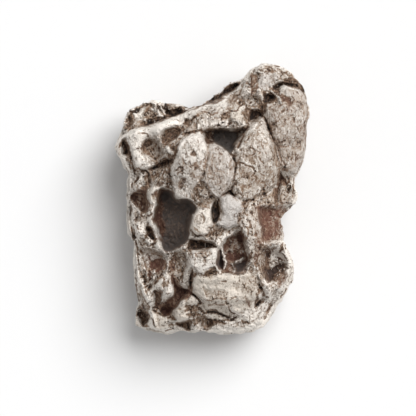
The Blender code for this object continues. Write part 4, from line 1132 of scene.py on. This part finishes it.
def roughen(name, kind, size, amount, mask, **settings):
    """Displace the stone along its normals by a procedural texture of that size."""
    texture = bpy.data.textures.new(name, kind)
    texture.noise_scale = size
    for setting, value in settings.items():
        setattr(texture, setting, value)
    group = paint_group(name, mask)
    finish_with(
        "DISPLACE", texture=texture, texture_coords="LOCAL", mid_level=0.5, strength=amount,
        vertex_group=group)
    stone.vertex_groups.remove(stone.vertex_groups[group])


move_by(-CREASE_DEPTH * crease_mask(spots) * rough, "NORMAL")
roughen("chips", "VORONOI", CHIP_SIZE, CHIP_DEPTH, rough, weight_1=-1.0, weight_2=1.0)
roughen(
    "crust", "CLOUDS", CRUST_SIZE, CRUST_DEPTH, rough, noise_type="HARD_NOISE", noise_depth=3)
grainy = GRAIN_EVERYWHERE + (1.0 - GRAIN_EVERYWHERE) * rough
roughen("grain", "CLOUDS", GRAIN_SIZE, GRAIN_DEPTH, grainy, noise_depth=2)
print("surface now spans", [round(v * 1000, 1) for v in stone.dimensions], "mm")

# %% [markdown]
# The mesh is now denser than it has to be on smooth stretches. Decimate takes faces away
# where they matter least.

# %% Spend the faces where they show
MOST_TRIANGLES = 196000

triangles = sum(len(face.vertices) - 2 for face in stone.data.polygons)
if triangles > MOST_TRIANGLES:
    finish_with(
        "DECIMATE", ratio=MOST_TRIANGLES / triangles, use_collapse_triangulate=True)
bpy.ops.object.shade_smooth()
print("triangles:", triangles, "->", len(stone.data.polygons))

# %% [markdown]
# Dirt gathers in low places and wear shows on high ones. The same masks also paint light: a
# pale painted highlight along fine edges, and painted shade at the foot of plate edges. To
# find them, a copy of the stone is smoothed, and each corner asks how far it stands out of its
# smoothed self. A little smoothing finds grain and cracks, and a lot of it finds whole pits
# and plates. Blender's Dirty Vertex Colors does the first only. What stands out is capped
# early, or every brim would get a white rim.

# %% Find what stands out
HIGHEST = 0.5
LOW = -0.3


def stands_out(strokes, full):
    """How far each corner stands out of a smoothed copy: -1 is `full` metres below it."""
    take(stone)
    bpy.ops.object.duplicate()
    copy = bpy.context.object
    finish_with("SMOOTH", iterations=strokes)
    away = np.sum((places(stone.data) - places(copy.data)) * normals(copy.data), axis=1)
    bpy.data.objects.remove(copy)
    return np.clip(away / full, -1.0, HIGHEST)


def store(name, values):
    """Keep a mask on the mesh, for the material to read."""
    layer = stone.data.attributes.new(name, "FLOAT", "POINT")
    layer.data.foreach_set("value", values.astype(np.float32))


out_fine = stands_out(6, 0.12 * MM)
out_mid = stands_out(60, 0.5 * MM)
out_wide = stands_out(400, 1.6 * MM)
store("out_fine", out_fine)
store("out_mid", out_mid)
store("out_wide", out_wide)
store("crease", crease_mask(places(stone.data)))
low_shares = [round(float(np.mean(out < LOW)), 2) for out in (out_fine, out_mid, out_wide)]
print("low share, fine, mid and wide:", low_shares)

# %% [markdown]
# The wear is painted next, and painted light with it. The flanks come first: they are painted
# paler than their wear alone, as painted light on the sides that the lamp hardly reaches, the
# low belt gets a painted rim of light bounced from the table, and the steepest faces are worn
# in patches, low places less than high ones. The named forms of the crown go over them, later
# forms over earlier ones, and the lines last. Some forms also have a tint of their own: red
# rust, grey slate, cream or soot. Others are polished, so they have fewer specks, or of coarse
# grain, with more of them. A tint names its form by region and place in the list.

# %% Paint wear and tints
TINTS = {
    "red": {
        ("column and red flank", 1): 0.8, ("column and red flank", 5): 0.4, ("red hollow", 0): 0.5,
        ("red hollow", 5): 0.4, ("trough", 0): 0.45, ("trough", 3): 0.2, ("brown hollow", 0): 0.4,
        ("brown hollow", 1): 0.6, ("white shelf", 4): 0.3, ("crescent and pink hollow", 3): 0.3,
        ("crescent and pink hollow", 4): 0.4, ("great pit", 0): 0.5, ("great pit", 1): 0.4,
        ("side hollow", 3): 0.4, ("side hollow", 0): 0.15, ("right plate", 1): 0.3,
        ("right plate", 2): 0.3, ("right plate", 3): 0.3, ("right plate", 6): 0.3,
        ("cream plate", 7): 0.5, ("knob and saddle", 1): 0.2, ("knob and saddle", 13): 0.3,
        ("upper pit", 1): 0.2,
    },
    "slate": {
        ("slate plate and keyhole", 0): 1.0, ("high plates", 3): 0.5, ("high plates", 1): 0.25,
        ("right plate", 0): 0.3, ("knob and saddle", 2): 0.7, ("white shelf", 0): 0.3,
    },
    "cream": {
        ("cream plate", 0): 0.9, ("cream plate", 5): 0.9, ("cream plate", 6): 0.9,
        ("trough", 4): 0.9, ("upper rim", 3): 0.9, ("nugget", 0): 0.5,
        ("crescent and pink hollow", 5): 0.4, ("lower edge", 5): 0.6, ("lower left corner", 1): 0.6,
    },
    "soot": {
        ("great pit", 2): 0.85, ("upper pit", 0): 0.9, ("slate plate and keyhole", 1): 0.3,
        ("red hollow", 1): 0.5, ("red hollow", 4): 0.6, ("side hollow", 1): 0.1,
    },
    "polished": {
        ("high plates", 1): 1.0, ("high plates", 3): 1.0, ("diamond plate", 0): 0.7,
        ("slate plate and keyhole", 0): 0.8, ("nugget", 0): 0.5,
        ("ledge and left shoulder", 0): 0.2, ("cream plate", 0): 0.4, ("trough", 4): 0.6,
        ("upper rim", 3): 0.6, ("right plate", 0): 0.7,
    },
    "coarse": {
        ("upper rim", 0): 0.8, ("upper rim", 4): 1.0, ("knob and saddle", 8): 0.8,
        ("side hollow", 0): 1.0, ("side hollow", 2): 0.5, ("side hollow", 5): 0.6,
        ("white shelf", 1): 1.0, ("white shelf", 3): 0.8, ("column and red flank", 0): 1.0,
        ("nugget", 4): 0.9, ("nugget", 1): 0.6, ("upper left lobe", 1): 0.8,
        ("ledge and left shoulder", 13): 0.8, ("slate plate and keyhole", 3): 1.0,
        ("right plate", 4): 0.5,
    },
}
PLAIN_WEAR = 0.62
# the flank and belt amounts hold painted light on top of their wear
FLANK_WEAR_AND_FILL_LIGHT = 0.98
FLANK_LOOK = 0.75  # how much a face looks up: below this it begins to be a flank
FLANK_FADE = 0.5
BELT_WEAR_AND_BOUNCE_LIGHT = 1.05
BELT_TOP = 15.0 * MM
BELT_FADE = 4.0 * MM
SIDE_WEAR = 0.70
SIDE_LOOK = 0.2
SIDE_FADE = 0.4
PATCH_SIZE = 5.0 * MM
DRAWN_FROM = 9.0 * MM  # above this level the drawings hold for every face
DRAWN_RISE = 3.0 * MM
LOW_FROM = 6.0 * MM  # from this level up they hold too, but only for faces that look up
LOW_RISE = 2.0 * MM
LOW_LOOK = 0.3
PAINT_RAGGED = 0.35 * MM
FORM_EDGE = 0.4  # in mm, the widest edge of a form's paint
STAIN_SPREAD = 1.3
THINNEST_LINE = 0.5  # in mm
LINE_SPREAD = 1.15
LINE_FIRM = 1.8
LINE_DARK = 0.8
SHADOW_LIFT = 0.10
TINT_EDGE = 1.0  # in mm

spots = places(stone.data)
plan = wandering(spots[:, :2], WANDER_SIZE, WANDER_REACH)
plan_fine = wandering(plan, RAGGED_SIZE, PAINT_RAGGED)
level = spots[:, 2]
upward = normals(stone.data)[:, 2]
facing = np.maximum(
    soft_step((level - DRAWN_FROM) / DRAWN_RISE),
    soft_step((level - LOW_FROM) / LOW_RISE) * soft_step(upward / LOW_LOOK))
wear = np.full(len(plan), PLAIN_WEAR)


def wear_and_light_over(mask, amount):
    """Paint an amount of wear over what is there; on flanks, belt and rims the amount holds painted light
    too.
    """
    wear[:] = wear * (1.0 - mask) + amount * mask


def lifted(amount):
    """Hollows are dark from their own shadow already, so their rust is made a bit paler."""
    return SHADOW_LIFT + (1.0 - SHADOW_LIFT) * amount


# painted light: flanks paler than their wear where the lamp hardly reaches, and a pale painted rim of
# bounced light on the belt
wear_and_light_over(soft_step((FLANK_LOOK - upward) / FLANK_FADE), FLANK_WEAR_AND_FILL_LIGHT)
wear_and_light_over(soft_step((BELT_TOP - level) / BELT_FADE), BELT_WEAR_AND_BOUNCE_LIGHT)
patches = 0.3 * out_mid + 0.4 * out_wide + 0.35 * noise_at(spots, PATCH_SIZE, (1, 1, 1))
wear_and_light_over(soft_step((SIDE_LOOK - upward) / SIDE_FADE), SIDE_WEAR + patches)
for height, edge, amount, outline in areas:
    soft_edge = min(edge, FORM_EDGE) if height else STAIN_SPREAD * edge
    wear_and_light_over(brush_inside(plan_fine, outline, soft_edge) * facing, lifted(amount))
for _, width, amount, line in lines:
    wide = LINE_SPREAD * max(width, THINNEST_LINE)
    if amount < PLAIN_WEAR:
        amount *= LINE_DARK
    wear_and_light_over(brush_line(plan_fine, line, wide, LINE_FIRM) * facing, lifted(amount))
store("wear", wear)

for name, strengths in TINTS.items():
    mask = np.zeros(len(plan))
    for (region, number), strength in strengths.items():
        _, edge, _, outline = AREAS[region][number]
        tinted = brush_inside(plan_fine, outline, max(TINT_EDGE, edge))
        mask = np.maximum(mask, strength * tinted)
    store(name, mask * facing)
print("mean wear", round(float(np.mean(wear)), 2), "and tints:", ", ".join(TINTS))

# %% [markdown]
# Shader maths reads best as plain sums. This small class wraps one socket, so that adding
# two masks adds a Math node behind the scenes.

# %% Sums of sockets
class Mask:
    """A socket that can be used in sums."""

    def __init__(self, tree, socket):
        self.tree = tree
        self.socket = socket

    @classmethod
    def node(cls, tree, kind, settings=None, sockets=None, output=0):
        """Any node: its settings first, then the values or links of its sockets."""
        made = tree.nodes.new(kind)
        for name, value in (settings or {}).items():
            if name == "stops":
                ramp = made.color_ramp.elements
                while len(ramp) < len(value):
                    ramp.new(0.5)
                for stop, (position, colour) in zip(ramp, value):
                    stop.position = position
                    stop.color = (*colour, 1.0)
            else:
                setattr(made, name, value)
        for name, value in (sockets or {}).items():
            if isinstance(value, Mask):
                tree.links.new(value.socket, made.inputs[name])
            else:
                made.inputs[name].default_value = value
        return cls(tree, made.outputs[output])

    def maths(self, operation, first, second=0.0):
        """One Math node."""
        return Mask.node(
            self.tree, "ShaderNodeMath", {"operation": operation}, {0: first, 1: second})

    def at_least(self, floor):
        """This mask, with nothing below the floor."""
        return self.maths("MAXIMUM", self, floor)

    def __add__(self, other):
        return self.maths("ADD", self, other)

    __radd__ = __add__

    def __sub__(self, other):
        return self.maths("SUBTRACT", self, other)

    def __rsub__(self, other):
        return self.maths("SUBTRACT", other, self)

    def __mul__(self, other):
        return self.maths("MULTIPLY", self, other)

    __rmul__ = __mul__

    def clamped(self):
        """This mask, held between 0 and 1."""
        return self.maths("MINIMUM", self.maths("MAXIMUM", self, 0.0), 1.0)

    def mixed(self, under, over):
        """The colour under, with the colour over it where this mask is 1.

        On a Mix node the colours go into sockets 6 and 7 and come out of socket 2.
        """
        return Mask.node(
            self.tree, "ShaderNodeMix", {"data_type": "RGBA"}, {0: self, 6: under, 7: over}, 2)


print("sums ready")

# %% [markdown]
# One material covers the stone. A single number, from rusty to bare, adds up the painted
# wear, which carries painted light on the flanks and rims, what stands out, which adds a
# painted highlight on fine edges and painted shade under plate edges, and noise in three
# sizes. Thin marks, round specks and long nicks take from it, as scratches full of rust do,
# and small pale flecks add to it where the stone is rusty. A ramp turns the number into
# colour: black brown, rust, tan, pale grey. The tints go over it: red rust in uneven streaks,
# slate, cream, and soot last. The same marks and a fine grain also make bumps.

# %% Weathered iron
RUST_TO_BARE = [
    (0.00, (0.024, 0.014, 0.009)),
    (0.15, (0.072, 0.039, 0.024)),
    (0.30, (0.165, 0.094, 0.056)),
    (0.45, (0.275, 0.178, 0.115)),
    (0.60, (0.400, 0.318, 0.250)),
    (0.75, (0.530, 0.468, 0.412)),
    # the palest stop is reached mostly on flanks and rims that carry painted light
    (1.00, (0.900, 0.835, 0.760)),
]
RED_RUST = (0.160, 0.060, 0.040, 1.0)
SLATE_GREY = (0.500, 0.468, 0.448, 1.0)
CREAM_PALE = (0.560, 0.470, 0.370, 1.0)
PIT_FLOOR = (0.150, 0.130, 0.117, 1.0)
STREAK_TURN = math.radians(40.0)  # streaks run from lower left to upper right
STREAK_STRETCH = 0.3
SPECK_FROM = 0.085
SPECK_SIZE = 0.5 * MM
NICK_SIZE = 0.6 * MM
FINE_SIZE = 0.45 * MM
MARK_SIZE = 1.3 * MM
MARK_THIN = 0.04
MARK_GAPS = 2.2 * MM
MOTTLE_SIZE = 1.3 * MM
CLOUD_SIZE = 4.5 * MM
RED_STREAKS = 1.2 * MM
BUMP_STREAKS = 0.7 * MM
BUMP_DEPTH = 0.32 * MM
RUST_ROUGHNESS = 0.78
BARE_SHINE = 0.22

iron = bpy.data.materials.new("weathered_iron")
iron.use_nodes = True
tree = iron.node_tree
surface = tree.nodes["Principled BSDF"]
where = Mask.node(tree, "ShaderNodeTexCoord", output="Object")


def grain(across, size, detail, roughness=0.6):
    """A noise whose spots are about that many metres wide, centred on zero."""
    speckle = Mask.node(tree, "ShaderNodeTexNoise", None, {
        "Vector": across, "Scale": 1.0 / size, "Detail": detail, "Roughness": roughness})
    return speckle - 0.5


def spots_only(speckle):
    """Only the strongest spots of a speckle, as few clear specks."""
    return (speckle - SPECK_FROM).at_least(0.0)


def veins(size, thin, gate):
    """Thin wriggling lines: where a noise passes through its middle, with gaps."""
    middle = Mask.node(tree, "ShaderNodeTexNoise", None, {
        "Vector": where, "Scale": 1.0 / size, "Detail": 2.0, "Distortion": 0.8}) - 0.5
    gaps = (0.3 + 5.0 * grain(where, gate, 1.0)).clamped()
    return (1.0 - middle.maths("ABSOLUTE", middle) * (1.0 / thin)).clamped() * gaps


def painted(name):
    """A mask that was stored on the mesh."""
    return Mask.node(tree, "ShaderNodeAttribute", {"attribute_name": name}, output="Fac")


wear_and_light_here = painted("wear")
streaks_run = Mask.node(tree, "ShaderNodeMapping", None, {
    "Vector": where, "Rotation": (0.0, 0.0, STREAK_TURN), "Scale": (1.0, STREAK_STRETCH, 1.0)})
half_worn = wear_and_light_here * (1.3 - wear_and_light_here)
marks = veins(MARK_SIZE, MARK_THIN, MARK_GAPS)
specks = spots_only(grain(where, SPECK_SIZE, 2.0))
specks = (20.0 + 12.0 * painted("coarse")) * half_worn * (1.0 - 0.6 * painted("polished")) * specks
nicks = half_worn * spots_only(grain(streaks_run, NICK_SIZE, 3.0))
flecks = spots_only(grain(streaks_run, SPECK_SIZE, 3.0, 0.65))
flecks = (1.0 - wear_and_light_here) * (1.0 + painted("coarse")) * flecks
flecks = (1.0 - 0.5 * painted("soot")) * (1.0 - painted("red")) * flecks
bareness_and_light = (
    wear_and_light_here
    # what stands out: edge wear with a painted highlight on fine edges, rust with painted contact shade at
    # the foot of plate edges
    + 0.14 * painted("out_fine")
    + 0.16 * painted("out_mid")
    + 0.04 * painted("out_wide")
    - 0.20 * painted("crease")
    - 0.45 * marks
    - specks
    - 12.0 * nicks
    + 9.0 * flecks
    + 0.40 * grain(streaks_run, FINE_SIZE, 2.0)
    + 0.45 * (1.0 - 0.6 * painted("polished")) * grain(where, MOTTLE_SIZE, 3.0)
    + 0.50 * grain(where, CLOUD_SIZE, 3.0)
    + 0.08
).clamped()
colour = Mask.node(tree, "ShaderNodeValToRGB", {"stops": RUST_TO_BARE}, {"Fac": bareness_and_light})
uneven_red = painted("red") * (1.0 + 2.5 * grain(streaks_run, RED_STREAKS, 3.0))
colour = (uneven_red * (1.0 - bareness_and_light)).clamped().mixed(colour, RED_RUST)
colour = (painted("slate") * bareness_and_light * 0.7).clamped().mixed(colour, SLATE_GREY)
colour = (painted("cream") * bareness_and_light * 0.5).clamped().mixed(colour, CREAM_PALE)
colour = (painted("soot") * (1.2 - bareness_and_light)).clamped().mixed(colour, PIT_FLOOR)
bumps = grain(where, FINE_SIZE, 3.0, 0.7) + 0.6 * grain(streaks_run, BUMP_STREAKS, 2.0) - 0.6 * marks
bump = Mask.node(tree, "ShaderNodeBump", None, {
    "Height": bumps, "Strength": 1.0, "Distance": BUMP_DEPTH}, output="Normal")
tree.links.new(colour.socket, surface.inputs["Base Color"])
tree.links.new((RUST_ROUGHNESS - BARE_SHINE * bareness_and_light).socket, surface.inputs["Roughness"])
tree.links.new(bump.socket, surface.inputs["Normal"])
surface.inputs["Metallic"].default_value = 0.0  # a skin of oxide, nowhere polished metal
stone.data.materials.append(iron)
print("nodes in the material:", len(tree.nodes))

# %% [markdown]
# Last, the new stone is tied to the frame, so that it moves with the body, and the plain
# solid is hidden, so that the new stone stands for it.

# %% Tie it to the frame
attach(stone, "root")
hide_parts("meteorite")
